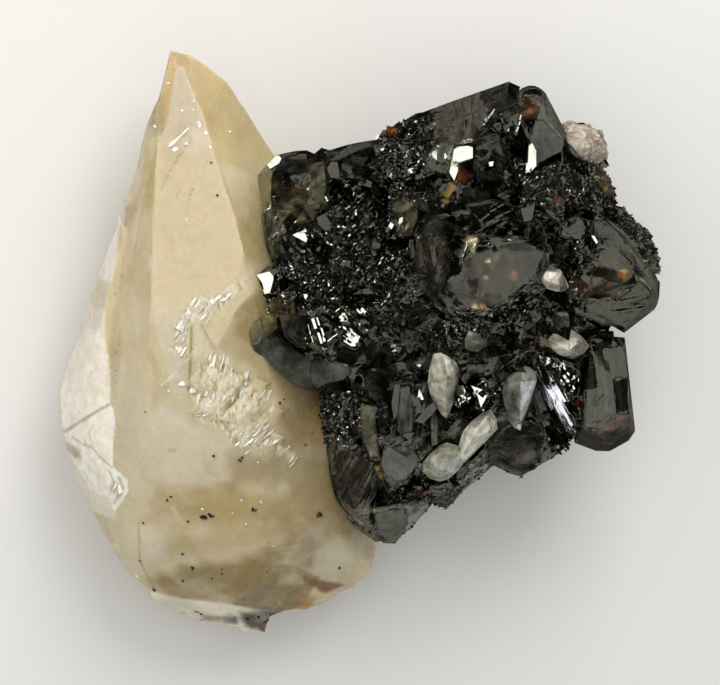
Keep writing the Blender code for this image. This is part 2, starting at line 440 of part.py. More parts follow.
def small_calcites():
    """Pale calcites grown on the sphalerite, each as its own solid's points."""
    upright = [
        (9.3, -1.35, 34.2), (10.2, -1.2, 34.6), (11.2, -1.7, 34.4), (12.2, -2.5, 33.6),
        (12.6, -3.5, 33.0), (12.4, -5.0, 32.8), (12.0, -7.0, 31.8), (11.3, -8.6, 31.0),
        (10.95, -9.4, 30.4), (10.4, -9.0, 30.6), (9.7, -8.0, 31.4), (8.9, -6.4, 32.4),
        (8.6, -5.0, 33.0), (8.75, -3.4, 33.6), (10.2, -3.4, 37.0), (11.0, -4.2, 36.8),
        (10.8, -6.4, 35.2), (9.8, -4.6, 36.8), (10.5, -4.5, 29.0),
    ]
    pointed = [
        (18.3, -4.2, 31.8), (19.3, -3.75, 32.4), (20.6, -2.85, 32.4), (21.3, -3.0, 32.2),
        (22.0, -3.6, 31.8), (22.2, -4.6, 31.4), (21.9, -5.6, 30.6), (21.0, -7.6, 29.6),
        (20.4, -9.4, 28.6), (20.2, -10.9, 27.6), (19.4, -10.6, 28.0), (18.8, -9.8, 28.6),
        (18.1, -7.5, 29.8), (17.9, -6.0, 30.8), (20.2, -4.8, 34.8), (20.1, -8.6, 31.8),
        (19.0, -5.6, 34.0), (20.2, -5.4, 27.0),
    ]
    diagonal = [
        (17.2, -9.5, 30.0), (16.5, -8.25, 30.6), (15.5, -8.6, 31.0), (14.0, -9.8, 30.4),
        (13.0, -11.0, 29.6), (12.6, -12.3, 28.6), (12.2, -14.0, 27.6), (17.3, -10.7, 28.6),
        (16.0, -12.1, 27.4), (14.5, -13.6, 26.6), (13.2, -14.9, 26.4), (15.9, -9.6, 33.0),
        (14.2, -11.6, 32.0), (13.6, -13.0, 31.0), (16.4, -10.6, 32.2), (14.8, -11.4, 25.0),
    ]
    blunt = [
        (8.0, -14.9, 27.4), (8.8, -13.9, 28.2), (10.0, -12.8, 28.6), (11.0, -12.4, 28.6),
        (12.5, -12.8, 28.4), (13.2, -13.6, 27.6), (13.3, -14.6, 26.8), (12.5, -15.8, 26.2),
        (11.3, -16.9, 25.4), (10.2, -17.3, 25.2), (8.9, -16.9, 25.8), (8.0, -16.0, 26.6),
        (10.0, -14.2, 31.4), (11.8, -14.0, 31.6), (10.8, -15.6, 30.2), (10.6, -14.8, 24.0),
    ]
    bright = [
        (22.3, 8.4, 36.4), (22.4, 9.0, 36.2), (22.9, 9.4, 36.0), (25.0, 9.15, 35.8),
        (25.4, 8.5, 35.6), (25.7, 7.8, 35.4), (26.15, 6.9, 35.0), (25.7, 6.4, 34.8),
        (24.6, 6.35, 35.0), (23.3, 6.8, 35.6), (22.6, 7.7, 36.0), (24.4, 8.5, 38.4),
        (23.6, 7.6, 38.2), (25.3, 7.0, 37.2), (24.2, 7.9, 32.0),
    ]
    notched_left = [
        (23.5, 0.4, 32.8), (24.2, 1.2, 33.0), (24.7, 1.1, 33.2), (25.4, 0.2, 33.8),
        (26.4, 0.1, 34.4), (27.4, -1.5, 32.8), (26.5, -1.95, 32.4), (25.0, -1.5, 32.4),
        (24.1, -0.9, 32.4), (25.2, -0.4, 35.0), (26.0, -1.0, 34.8), (25.4, -0.4, 28.0),
    ]
    notched_right = [
        (26.1, 0.2, 34.2), (26.4, 1.7, 33.2), (27.8, 0.8, 32.6), (28.7, -0.4, 32.0),
        (28.0, -1.3, 32.0), (26.6, -1.9, 32.2), (26.0, -1.0, 34.6), (27.2, 0.0, 34.8),
        (26.8, -0.2, 28.0),
    ]
    greyish = [
        (13.2, -0.6, 34.6), (13.2, 0.4, 34.8), (13.7, 1.6, 35.2), (15.0, 1.2, 35.4),
        (16.0, 0.6, 34.8), (15.9, -0.2, 34.4), (14.8, -1.0, 34.2), (13.9, -1.0, 34.4),
        (14.4, 0.6, 37.0), (15.0, 0.0, 36.6), (14.6, 0.2, 31.0),
    ]
    long_grey = [
        (24.2, 2.8, 33.6), (24.6, 3.7, 33.8), (25.3, 4.0, 33.8), (26.0, 3.7, 33.6),
        (26.25, 2.6, 33.6), (26.05, 1.95, 33.6), (24.8, 1.9, 33.6), (24.3, 2.2, 33.6),
        (25.0, 3.0, 35.6), (25.4, 2.4, 35.4), (25.2, 2.8, 30.0),
    ]
    return {
        "upright_calcite": [upright],
        "pointed_calcite": [pointed],
        "joined_calcites": [diagonal, blunt],
        "bright_calcite": [bright],
        "notched_calcite": [notched_left, notched_right],
        "greyish_calcite": [greyish],
        "long_calcite": [long_grey],
    }


def knob_forms():
    """The pale sugary lump on the cluster's upper right corner."""
    body = [
        (25.4, 27.5, 18.6), (26.2, 27.65, 18.8), (27.5, 27.35, 18.8), (28.6, 27.3, 18.8),
        (29.6, 26.9, 18.6), (30.4, 26.25, 18.6), (30.85, 25.4, 18.6), (31.0, 24.6, 18.6),
        (31.25, 23.7, 18.6), (31.0, 23.0, 18.4), (29.6, 22.2, 18.4), (27.6, 22.6, 19.4),
        (26.0, 25.2, 24.0), (27.0, 24.0, 25.2), (28.2, 22.9, 24.4), (26.4, 26.8, 22.6),
        (28.0, 26.4, 23.8), (29.6, 25.4, 23.4), (30.2, 24.0, 22.6), (28.6, 24.4, 25.4),
        (27.6, 25.8, 16.6), (29.6, 24.0, 16.6), (25.6, 24.0, 18.4),
    ]
    draw = random.Random(KNOB_SEED)
    grains = []
    for point in body[1:22:2]:
        spin = [draw.uniform(0, math.pi) for axis in range(3)]
        centre = Vector(point).lerp(Vector(KNOB_MIDDLE), SUNK_SHARE)
        grains.append(tetrahedral_crystal(centre, draw.uniform(*KNOB_GRAIN_SIZES), spin))
    return [body] + grains


def outer_point(surface, start, direction):
    """Where a line from outside first meets the surface, with the normal there."""
    place, normal, index, distance = surface.ray_cast(Vector(start), Vector(direction))
    return place, normal


def seeded_crystals(surface):
    """Small crystals over the drusy slopes, and larger ones round the sides of the cluster."""
    draw = random.Random(CRYSTAL_SEED)
    forms = []
    # The slopes: span of x, span of y, how many crystals, smallest and largest
    slopes = (
        ((-9.5, 8.5), (3.0, 19.5), 44, (2.8, 4.6)),
        ((1.0, 9.5), (19.0, 26.0), 12, (2.2, 3.4)),
        ((20.0, 30.0), (15.5, 21.4), 17, (2.2, 3.8)),
        ((5.0, 24.0), (-4.5, 4.0), 20, (2.4, 3.9)),
        ((23.0, 29.0), (3.5, 13.0), 8, (1.8, 2.8)),
        ((34.4, 36.0), (8.8, 12.0), 4, (1.5, 2.1)),
        ((-1.0, 8.5), (-14.0, -6.0), 7, (1.8, 2.8)),
        ((12.5, 17.5), (-9.0, -5.5), 5, (1.6, 2.2)),
        ((24.5, 27.0), (-9.5, -3.0), 6, (1.5, 2.1)),
        ((15.5, 20.0), (19.5, 25.0), 5, (1.8, 2.8)),
    )
    for span_x, span_y, count, sizes in slopes:
        for number in range(count):
            start = (draw.uniform(*span_x), draw.uniform(*span_y), SEARCH_HEIGHT)
            size = draw.uniform(*sizes)
            spin = [draw.uniform(0, 2 * math.pi) for axis in range(3)]
            place, normal = outer_point(surface, start, (0, 0, -1))
            if place is None:
                continue
            centre = place + normal * PERCH_SHARE * size
            forms.append(tetrahedral_crystal(centre, size, spin, truncation=0.0))
    # The rings round the sides: height, how many crystals, smallest and largest
    rings = ((4.6, 11, (6.0, 9.0)), (10.0, 13, (5.8, 8.8)), (16.0, 13, (4.4, 6.4)))
    for height, count, sizes in rings:
        for number in range(count):
            turn = 2 * math.pi * (number + draw.uniform(-0.3, 0.3)) / count
            size = draw.uniform(*sizes)
            spin = [draw.uniform(0, 2 * math.pi) for axis in range(3)]
            stretch = draw.uniform(0.8, 1.3)
            x = CLUSTER_MIDDLE[0] + SEARCH_REACH * math.cos(turn)
            y = CLUSTER_MIDDLE[1] + SEARCH_REACH * math.sin(turn)
            inward = (-math.cos(turn), -math.sin(turn), 0)
            place, normal = outer_point(surface, (x, y, height), inward)
            if place is None:
                continue
            centre = place - normal * SUNK_SHARE * size
            forms.append(tetrahedral_crystal(centre, size, spin, stretch))
    return forms


def hull_object(name, points):
    """The solid that a sheet drawn tight round the points would have."""
    shape = bmesh.new()
    for point in points:
        shape.verts.new(Vector(point) * MM)
    hull = bmesh.ops.convex_hull(shape, input=shape.verts)
    spare = [item for item in hull["geom_interior"] if isinstance(item, bmesh.types.BMVert)]
    bmesh.ops.delete(shape, geom=spare, context="VERTS")
    loose = [vert for vert in shape.verts if not vert.link_faces]
    bmesh.ops.delete(shape, geom=loose, context="VERTS")
    bmesh.ops.dissolve_limit(shape, angle_limit=FLAT_ANGLE, verts=shape.verts,
                             edges=shape.edges)
    bmesh.ops.recalc_face_normals(shape, faces=shape.faces)
    mesh = bpy.data.meshes.new(name)
    shape.to_mesh(mesh)
    shape.free()
    item = bpy.data.objects.new(name, mesh)
    bpy.context.scene.collection.objects.link(item)
    return item


def surface_of(items):
    """One searchable surface over several solids."""
    corners = []
    faces = []
    for item in items:
        first = len(corners)
        corners += [vert.co / MM for vert in item.data.vertices]
        faces += [[first + index for index in face.vertices] for face in item.data.polygons]
    return BVHTree.FromPolygons(corners, faces)


def settle(item):
    """Replace an object's mesh by what its modifiers make of it."""
    graph = bpy.context.evaluated_depsgraph_get()
    mesh = bpy.data.meshes.new_from_object(item.evaluated_get(graph))
    item.modifiers.clear()
    old = item.data
    item.data = mesh
    bpy.data.meshes.remove(old)


def fuse(base, others):
    """Join solids that overlap into one, and remove the ones that were added."""
    if not others:
        return
    tools = bpy.data.collections.new(base.name + "_added")
    for item in others:
        tools.objects.link(item)
    joint = base.modifiers.new("fuse", "BOOLEAN")
    joint.operation = "UNION"
    joint.operand_type = "COLLECTION"
    joint.collection = tools
    joint.solver = "EXACT"
    settle(base)
    for item in others:
        bpy.data.objects.remove(item)
    bpy.data.collections.remove(tools)


def carve(base, cutters):
    """Take the cutters' space out of the base, and remove the cutters."""
    tools = bpy.data.collections.new(base.name + "_cutters")
    for item in cutters:
        tools.objects.link(item)
    cut = base.modifiers.new("carve", "BOOLEAN")
    cut.operation = "DIFFERENCE"
    cut.operand_type = "COLLECTION"
    cut.collection = tools
    cut.solver = "EXACT"
    settle(base)
    for item in cutters:
        bpy.data.objects.remove(item)
    bpy.data.collections.remove(tools)


def fused_object(name, forms):
    """One solid from several overlapping forms."""
    parts = []
    for number, points in enumerate(forms):
        parts.append(hull_object(f"{name}_{number}", points))
    fuse(parts[0], parts[1:])
    parts[0].name = name
    parts[0].data.name = name
    return parts[0]


def box_below():
    """A block under the resting surface."""
    corners = []
    for x in (-WIDTH, WIDTH):
        for y in (-WIDTH, WIDTH):
            for z in (REST_HEIGHT - FLOOR_BLOCK_DEPTH, REST_HEIGHT):
                corners.append((x, y, z))
    return hull_object("floor_block", corners)


def grown(item):
    """Move a convex solid's surface out by the gap."""
    shape = bmesh.new()
    shape.from_mesh(item.data)
    shape.normal_update()
    moves = []
    for vert in shape.verts:
        moves.append(vert.normal * GAP * MM * min(vert.calc_shell_factor(), LONGEST_MITRE))
    for vert, move in zip(shape.verts, moves):
        vert.co += move
    shape.to_mesh(item.data)
    shape.free()
    return item


def keep_main_shell(item):
    """Delete the crumbs that a cut leaves beside the main solid."""
    shape = bmesh.new()
    shape.from_mesh(item.data)
    left = set(shape.faces)
    shells = []
    while left:
        seed = left.pop()
        shell = {seed}
        front = [seed]
        while front:
            face = front.pop()
            for edge in face.edges:
                for near in edge.link_faces:
                    if near in left:
                        left.remove(near)
                        shell.add(near)
                        front.append(near)
        shells.append(shell)
    shells.sort(key=len)
    for shell in shells[:-1]:
        bmesh.ops.delete(shape, geom=list(shell), context="FACES")
    loose = [vert for vert in shape.verts if not vert.link_faces]
    bmesh.ops.delete(shape, geom=loose, context="VERTS")
    shape.to_mesh(item.data)
    shape.free()


def plain_material(name, colour, roughness):
    material = bpy.data.materials.new(name)
    material.use_nodes = True
    shader = material.node_tree.nodes["Principled BSDF"]
    shader.inputs["Base Color"].default_value = (*colour, 1.0)
    shader.inputs["Roughness"].default_value = roughness
    shader.inputs["Metallic"].default_value = 0.0
    return material


def paint(item, material):
    item.data.materials.clear()
    item.data.materials.append(material)


def make_calcite():
    item = fused_object("calcite_crystal", calcite_forms())
    paint(item, plain_material("honey_calcite", (0.62, 0.5, 0.3), 0.25))


def make_small_calcites():
    for name, forms in small_calcites().items():
        item = fused_object(name, forms)
        paint(item, plain_material(name + "_pale", (0.62, 0.6, 0.52), 0.3))


def make_knob():
    item = fused_object("pale_calcite_knob", knob_forms())
    keep_main_shell(item)
    paint(item, plain_material("sugary_calcite", (0.5, 0.44, 0.38), 0.7))


def make_sphalerite():
    forms = left_crystals() + top_crystals() + centre_crystals()
    forms += right_crystals() + bottom_crystals() + cluster_blocks()
    parts = []
    for number, points in enumerate(forms):
        parts.append(hull_object(f"crystal_{number}", points))
    surface = surface_of(parts)
    for number, points in enumerate(seeded_crystals(surface)):
        parts.append(hull_object(f"small_crystal_{number}", points))
    cluster = parts[0]
    fuse(cluster, parts[1:])
    neighbours = calcite_forms() + knob_forms()
    for forms in small_calcites().values():
        neighbours += forms
    cutters = [box_below()]
    for number, points in enumerate(neighbours):
        cutters.append(grown(hull_object(f"room_{number}", points)))
    carve(cluster, cutters)
    keep_main_shell(cluster)
    cluster.name = "sphalerite_cluster"
    cluster.data.name = "sphalerite_cluster"
    paint(cluster, plain_material("black_sphalerite", (0.012, 0.012, 0.01), 0.12))


def clear_scene():
    for item in list(bpy.data.objects):
        bpy.data.objects.remove(item, do_unlink=True)


def main():
    clear_scene()
    make_calcite()
    make_small_calcites()
    make_knob()
    make_sphalerite()


main()
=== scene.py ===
"""Looks of the sphalerite specimen: calcite, sphalerite, small calcites, floor, light, camera.

Places and sizes are in millimetres in the lists below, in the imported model's own frame: x to
the right, y towards the calcite's tip, z up. The specimen lies on its back.
"""
import math
import random

import bmesh
import bpy
import numpy as np
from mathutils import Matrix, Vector, noise
from mathutils.bvhtree import BVHTree


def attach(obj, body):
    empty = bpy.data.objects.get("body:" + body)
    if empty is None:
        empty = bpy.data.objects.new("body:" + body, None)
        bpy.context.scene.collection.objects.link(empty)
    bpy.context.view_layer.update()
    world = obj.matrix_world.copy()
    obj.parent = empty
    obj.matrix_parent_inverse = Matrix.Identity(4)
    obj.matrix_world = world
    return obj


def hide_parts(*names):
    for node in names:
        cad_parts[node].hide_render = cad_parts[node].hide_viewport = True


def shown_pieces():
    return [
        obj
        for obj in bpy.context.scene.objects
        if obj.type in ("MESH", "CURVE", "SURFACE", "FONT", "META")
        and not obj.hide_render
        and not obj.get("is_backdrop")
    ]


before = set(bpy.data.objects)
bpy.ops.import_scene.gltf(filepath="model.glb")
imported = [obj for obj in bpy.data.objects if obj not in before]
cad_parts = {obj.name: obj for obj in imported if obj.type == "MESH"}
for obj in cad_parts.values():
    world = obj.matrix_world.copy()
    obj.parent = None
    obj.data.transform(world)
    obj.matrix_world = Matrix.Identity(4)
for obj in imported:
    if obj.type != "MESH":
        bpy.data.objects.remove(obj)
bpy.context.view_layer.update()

MM = 0.001
WELD = 0.002 * MM

# Longest edges of the dressed pieces in millimetres, and how often an edge is halved at most
CALCITE_EDGE = 0.42
SPHALERITE_EDGE = 0.5
SMALL_CALCITE_EDGE = 0.22
KNOB_EDGE = 0.35
HIDDEN_EDGE = 1.6
MOST_CUTS = 9
ABOVE_ALL = 90

# Faces that shine: the rise per mm, along x and y, that sends the window's light to the camera
SHINE = (0.33, -0.33)
WARM_WHITE = (1.0, 0.985, 0.96)
WINDOW_DIRECTION = Vector((-0.545, 0.545, 0.638))
SOFT_DIRECTION = Vector((-0.2, 0.5, 0.85))
SOFT_LEVEL = 3.6
FLOOR_DIRECTION = Vector((0.3, 0.62, 0.72))
FLOOR_LEVEL = 5.0
WINDOW_LEVEL = 6.5
FILL_LEVEL = 0.43
OVERHEAD_LEVEL = 0.6
SIDE_LEVEL = 0.44
TABLE_LEVEL = 0.3
AMBIENT_LEVEL = 0.6

CALCITE_IOR = 1.6
SPHALERITE_IOR = 2.37


def srgb(red, green, blue):
    """A colour as a screen shows it, 0 to 255, turned into the light that shaders use."""
    light = []
    for value in (red, green, blue):
        value /= 255
        light.append(value / 12.92 if value <= 0.04045 else ((value + 0.055) / 1.055) ** 2.4)
    return tuple(light)


# Node helpers

def add_node(tree, kind, settings=None, **inputs):
    """A node with its settings, and its inputs set or linked by name or number."""
    node = tree.nodes.new(kind)
    for key, value in (settings or {}).items():
        setattr(node, key, value)
    feed(tree, node, **inputs)
    return node


def feed(tree, node, **inputs):
    """Set or link a node's inputs, each by its name with an underscore for a space."""
    for key, value in inputs.items():
        plug(tree, node, key.replace("_", " "), value)


def plug(tree, node, key, value):
    socket = node.inputs[key]
    if isinstance(value, bpy.types.NodeSocket):
        tree.links.new(value, socket)
    else:
        socket.default_value = value


def new_material(name):
    material = bpy.data.materials.new(name)
    material.use_nodes = True
    tree = material.node_tree
    return material, tree, tree.nodes["Principled BSDF"]


def place_of(tree):
    return add_node(tree, "ShaderNodeTexCoord").outputs["Object"]


def noise_of(tree, place, per_metre, detail=3.0, roughness=0.55, distortion=0.0):
    node = add_node(tree, "ShaderNodeTexNoise", Vector=place, Scale=per_metre, Detail=detail,
                    Roughness=roughness, Distortion=distortion)
    return node.outputs["Fac"]


def ramp(tree, value, low, high, bottom=0.0, top=1.0):
    """Bottom below low, top above high, a soft step between."""
    node = add_node(tree, "ShaderNodeMapRange", {"interpolation_type": "SMOOTHSTEP"},
                    Value=value)
    for key, number in (("From Min", low), ("From Max", high), ("To Min", bottom),
                        ("To Max", top)):
        node.inputs[key].default_value = number
    return node.outputs["Result"]


def blend_colour(tree, share, first, second, mode="MIX"):
    node = add_node(tree, "ShaderNodeMix", {"data_type": "RGBA", "blend_type": mode})
    plug(tree, node, 0, share)
    for index, value in ((6, first), (7, second)):
        if isinstance(value, tuple):
            value = (*value[:3], 1.0)
        plug(tree, node, index, value)
    return node.outputs[2]


def combine(tree, operation, first, second):
    node = add_node(tree, "ShaderNodeMath", {"operation": operation})
    plug(tree, node, 0, first)
    plug(tree, node, 1, second)
    return node.outputs[0]


def attribute(tree, name, output="Fac"):
    return add_node(tree, "ShaderNodeAttribute", {"attribute_name": name}).outputs[output]


def vector_math(tree, operation, first, second=None):
    node = add_node(tree, "ShaderNodeVectorMath", {"operation": operation})
    plug(tree, node, 0, first)
    if second is not None:
        plug(tree, node, "Scale" if operation == "SCALE" else 1, second)
    return node.outputs[0]


def bump(tree, shader, height, strength, distance, normal=None):
    node = add_node(tree, "ShaderNodeBump", Height=height, Strength=strength, Distance=distance)
    if normal is not None:
        plug(tree, node, "Normal", normal)
    tree.links.new(node.outputs["Normal"], shader.inputs["Normal"])


def small_faces(tree, place, layers, normal=None):
    """The surface's normal, tilted at random from one tiny crystal face to the next.

    Each layer is the cells' size in the place's own unit, and how far the normal tilts."""
    if normal is None:
        normal = add_node(tree, "ShaderNodeNewGeometry").outputs["Normal"]
    for size, amount in layers:
        cells = add_node(tree, "ShaderNodeTexVoronoi", Vector=place, Scale=1 / size)
        centred = vector_math(tree, "SUBTRACT", cells.outputs["Color"], (0.5, 0.5, 0.5))
        normal = vector_math(tree, "ADD", normal, vector_math(tree, "SCALE", centred, amount))
    return vector_math(tree, "NORMALIZE", normal)


# Mesh helpers

def merged_copy(node):
    """A CAD node's mesh, its loose triangles joined, as an editable shape."""
    shape = bmesh.new()
    shape.from_mesh(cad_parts[node].data)
    bmesh.ops.remove_doubles(shape, verts=shape.verts, dist=WELD)
    return shape


def split_long_edges(shape, longest, behind=None, merge=None):
    """Cut edges in half until none is longer than the length given, in millimetres.

    Edges that face away from the camera may keep the second length. Merge joins the corners
    that end up nearer to each other than that."""
    behind = behind or longest
    for number in range(MOST_CUTS):
        shape.normal_update()
        long = []
        for edge in shape.edges:
            faces_up = max(vert.normal.z for vert in edge.verts) > 0.1
            if edge.calc_length() > (longest if faces_up else behind) * MM:
                long.append(edge)
        if not long:
            break
        bmesh.ops.subdivide_edges(shape, edges=long, cuts=1)
        big = [face for face in shape.faces if len(face.verts) > 3]
        bmesh.ops.triangulate(shape, faces=big)
    if merge:
        bmesh.ops.remove_doubles(shape, verts=shape.verts, dist=merge * MM)


def relax(shape, weights, rounds):
    """Round a shape off: move each vertex towards the middle of its neighbours by its weight."""
    shape.verts.index_update()
    points = np.array([vert.co for vert in shape.verts])
    first = np.array([edge.verts[0].index for edge in shape.edges])
    second = np.array([edge.verts[1].index for edge in shape.edges])
    count = len(points)
    links = np.bincount(first, minlength=count) + np.bincount(second, minlength=count)
    for number in range(rounds):
        for axis in range(3):
            values = points[:, axis]
            total = (np.bincount(first, values[second], count)
                     + np.bincount(second, values[first], count))
            points[:, axis] = values + weights * (total / links - values)
    for vert, point in zip(shape.verts, points):
        vert.co = point


def mesh_of(shape, name):
    mesh = bpy.data.meshes.new(name)
    shape.to_mesh(mesh)
    shape.free()
    return mesh


def in_scene(name, data):
    item = bpy.data.objects.new(name, data)
    bpy.context.scene.collection.objects.link(item)
    return item


def finished(name, shape, material, node=None, sharp=None):
    """The shape as a piece that rides on the specimen, smooth only where sharp gives the angle
    that is still smooth."""
    mesh = mesh_of(shape, name)
    mesh.materials.append(material)
    if sharp is not None:
        mesh.shade_smooth()
        mesh.set_sharp_from_angle(angle=math.radians(sharp))
    return register(in_scene(name, mesh), node)


def register(piece, node):
    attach(piece, "root")
    if node:
        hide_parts(node)
    return piece


def add_block(shape, pairs):
    """A block between a top face and a foot, from pairs of places in millimetres."""
    top = []
    foot = []
    for upper, lower in pairs:
        top.append(shape.verts.new(Vector(upper) * MM))
        foot.append(shape.verts.new(Vector(lower) * MM))
    shape.faces.new(top)
    shape.faces.new(foot[::-1])
    for index in range(len(top)):
        after = (index + 1) % len(top)
        shape.faces.new((top[index], foot[index], foot[after], top[after]))


def middle_of(outline):
    return Vector([sum(point[axis] for point in outline) / len(outline) for axis in (0, 1)])


def places_of(mesh):
    """Every vertex of a mesh in millimetres, one row each."""
    flat = np.empty(len(mesh.vertices) * 3)
    mesh.vertices.foreach_get("co", flat)
    return flat.reshape(-1, 3) / MM


def depth_inside(points, outline):
    """How far, in millimetres, each point lies inside an outline seen from above."""
    corners = np.array(outline, dtype=float)
    x = points[:, 0]
    y = points[:, 1]
    nearest = np.full(len(points), 1e9)
    inside = np.zeros(len(points), dtype=bool)
    for first, second in zip(corners, np.roll(corners, -1, axis=0)):
        run = second - first
        along = ((x - first[0]) * run[0] + (y - first[1]) * run[1]) / max(run @ run, 1e-9)
        along = np.clip(along, 0, 1)
        gap = np.hypot(x - first[0] - along * run[0], y - first[1] - along * run[1])
        nearest = np.minimum(nearest, gap)
        if first[1] != second[1]:
            crosses = (first[1] > y) != (second[1] > y)
            inside ^= crosses & (x < first[0] + (y - first[1]) / run[1] * run[0])
    return np.where(inside, nearest, -nearest)


def soft_step(values, low, high):
    share = np.clip((values - low) / (high - low), 0, 1)
    return share * share * (3 - 2 * share)


def waves(points, size, seed):
    """Smooth noise from 0 to 1 over the points, with lumps about size millimetres wide."""
    shift = Vector((seed * 7.3, seed * 3.1, seed * 5.7))
    return np.array([noise.noise(Vector(point) / size + shift) * 0.5 + 0.5 for point in points])


def store_colour(mesh, name, colours):
    layer = mesh.attributes.new(name, "FLOAT_COLOR", "POINT")
    flat = np.ones((len(colours), 4))
    flat[:, :3] = colours
    layer.data.foreach_set("color", flat.ravel())


def store_vector(mesh, name, vectors):
    layer = mesh.attributes.new(name, "FLOAT_VECTOR", "POINT")
    layer.data.foreach_set("vector", np.asarray(vectors, dtype=np.float32).ravel())


def store_number(mesh, name, values):
    layer = mesh.attributes.new(name, "FLOAT", "POINT")
    layer.data.foreach_set("value", np.asarray(values, dtype=np.float32))


def surface_of(mesh):
    """A mesh as a surface that can be searched, in millimetres."""
    corners = [vertex.co / MM for vertex in mesh.vertices]
    return BVHTree.FromPolygons(corners, [list(face.vertices) for face in mesh.polygons])


def height_at(skin, x, y, missing=None):
    """The height of the surface seen from above at x, y."""
    place = skin.ray_cast(Vector((x, y, ABOVE_ALL)), Vector((0, 0, -1)))[0]
    return place.z if place else missing


# The large calcite

CALCITE_FRONT = [
    (-22.9, 36.4), (-23.2, 35), (-22.8, 34.4), (-23.3, 31.4), (-23.7, 28.6), (-24.3, 26.6),
    (-25.1, 24.9), (-25.3, 22.9), (-25.4, 17.9), (-25.6, 12.2), (-25.75, 5.4), (-25.3, 1),
    (-24.2, -1.5), (-23.7, -4), (-23.7, -6.2), (-20.8, -6.4), (-17.3, 0.1), (-15.2, 4.1), (-12.9, 6.8),
    (-13.9, 9.6), (-14.7, 11.9), (-15.4, 15.4), (-16.2, 19.4), (-17.6, 22.6), (-18.3, 25.1),
    (-19.2, 27.6), (-20.2, 30.4), (-21.1, 32.9), (-22.1, 36.4),
]
WHITE_PATCH = [
    (-34.4, 1.8), (-32.6, 1.6), (-31.7, 0.2), (-31.2, -2.1), (-31.06, -3.6), (-31.1, -7.6),
    (-30.5, -8.6), (-30.4, -10.9), (-30.7, -13.1), (-30.6, -15.4), (-29.8, -16.4), (-28.9, -17.1),
    (-28.7, -18.6), (-29.6, -20.1), (-30.6, -21.1), (-31.3, -19.4), (-32.6, -19), (-33.8, -18.1),
    (-35.3, -16.1), (-36.1, -14.4), (-36.9, -13.1), (-36.9, -11.6), (-37.9, -9.4), (-38.4, -7.9),
    (-38, -6.1), (-36.8, -3.1),
]
BROKEN_UPPER = [
    (-23.3, 1.8), (-21.7, 4.2), (-20.8, 5.6), (-18.8, 5.4), (-16.4, 6.9), (-13.4, 9.2), (-13.6, 8.4),
    (-16.4, 5), (-18, 3.2), (-20.4, 2.7), (-20.9, 1.6), (-21.2, -1.4), (-22.1, -1.9), (-23.4, -0.6),
    (-21.9, 0.5),
]
BROKEN_LOWER = [
    (-18.7, -0.9), (-16.2, -1.9), (-16.06, -2.6), (-14.06, -4.4), (-12.3, -5.9), (-10.8, -5.9),
    (-10.4, -8.4), (-11.6, -9.4), (-10.06, -12.4), (-7.8, -13.9), (-8.06, -15.1), (-10.06, -14.1),
    (-14.06, -13.1), (-16.06, -12.1), (-16.6, -10.9), (-20.3, -9.4), (-20.06, -7.9), (-20.8, -5.9),
    (-20.3, -3.4),
]
PALE_CRYSTAL = [
    (-29.2, 17.4), (-29.97, 14.4), (-30.3, 10.1), (-31.06, 7.6), (-31.8, 4.1), (-31.7, 0.4),
    (-31.06, -2.4), (-31.06, -7.1), (-31, -15), (-30, -17), (-30.6, -22), (-37, -20), (-40, -8),
    (-37, 2), (-31, 17.4),
]

# The left edge of the upper crystal: height in the picture, its place, how far it bulges out
LEFT_EDGE = [
    (14.5, -29.9, 0), (15.5, -29.4, 0.3), (17.3, -28.6, 0.75), (19.1, -28, 0.5), (21, -27.4, 0.45),
    (23, -27, 0.6), (25, -26.5, 0.85), (27, -26.1, 0.9), (29, -25.5, 0.75), (30.4, -24.7, 0.5),
    (32.2, -24, 0.6), (34.1, -23.4, 0.65), (36.4, -22.8, 0.75),
]
FOOT_CORNER = (1.5, -25.0)

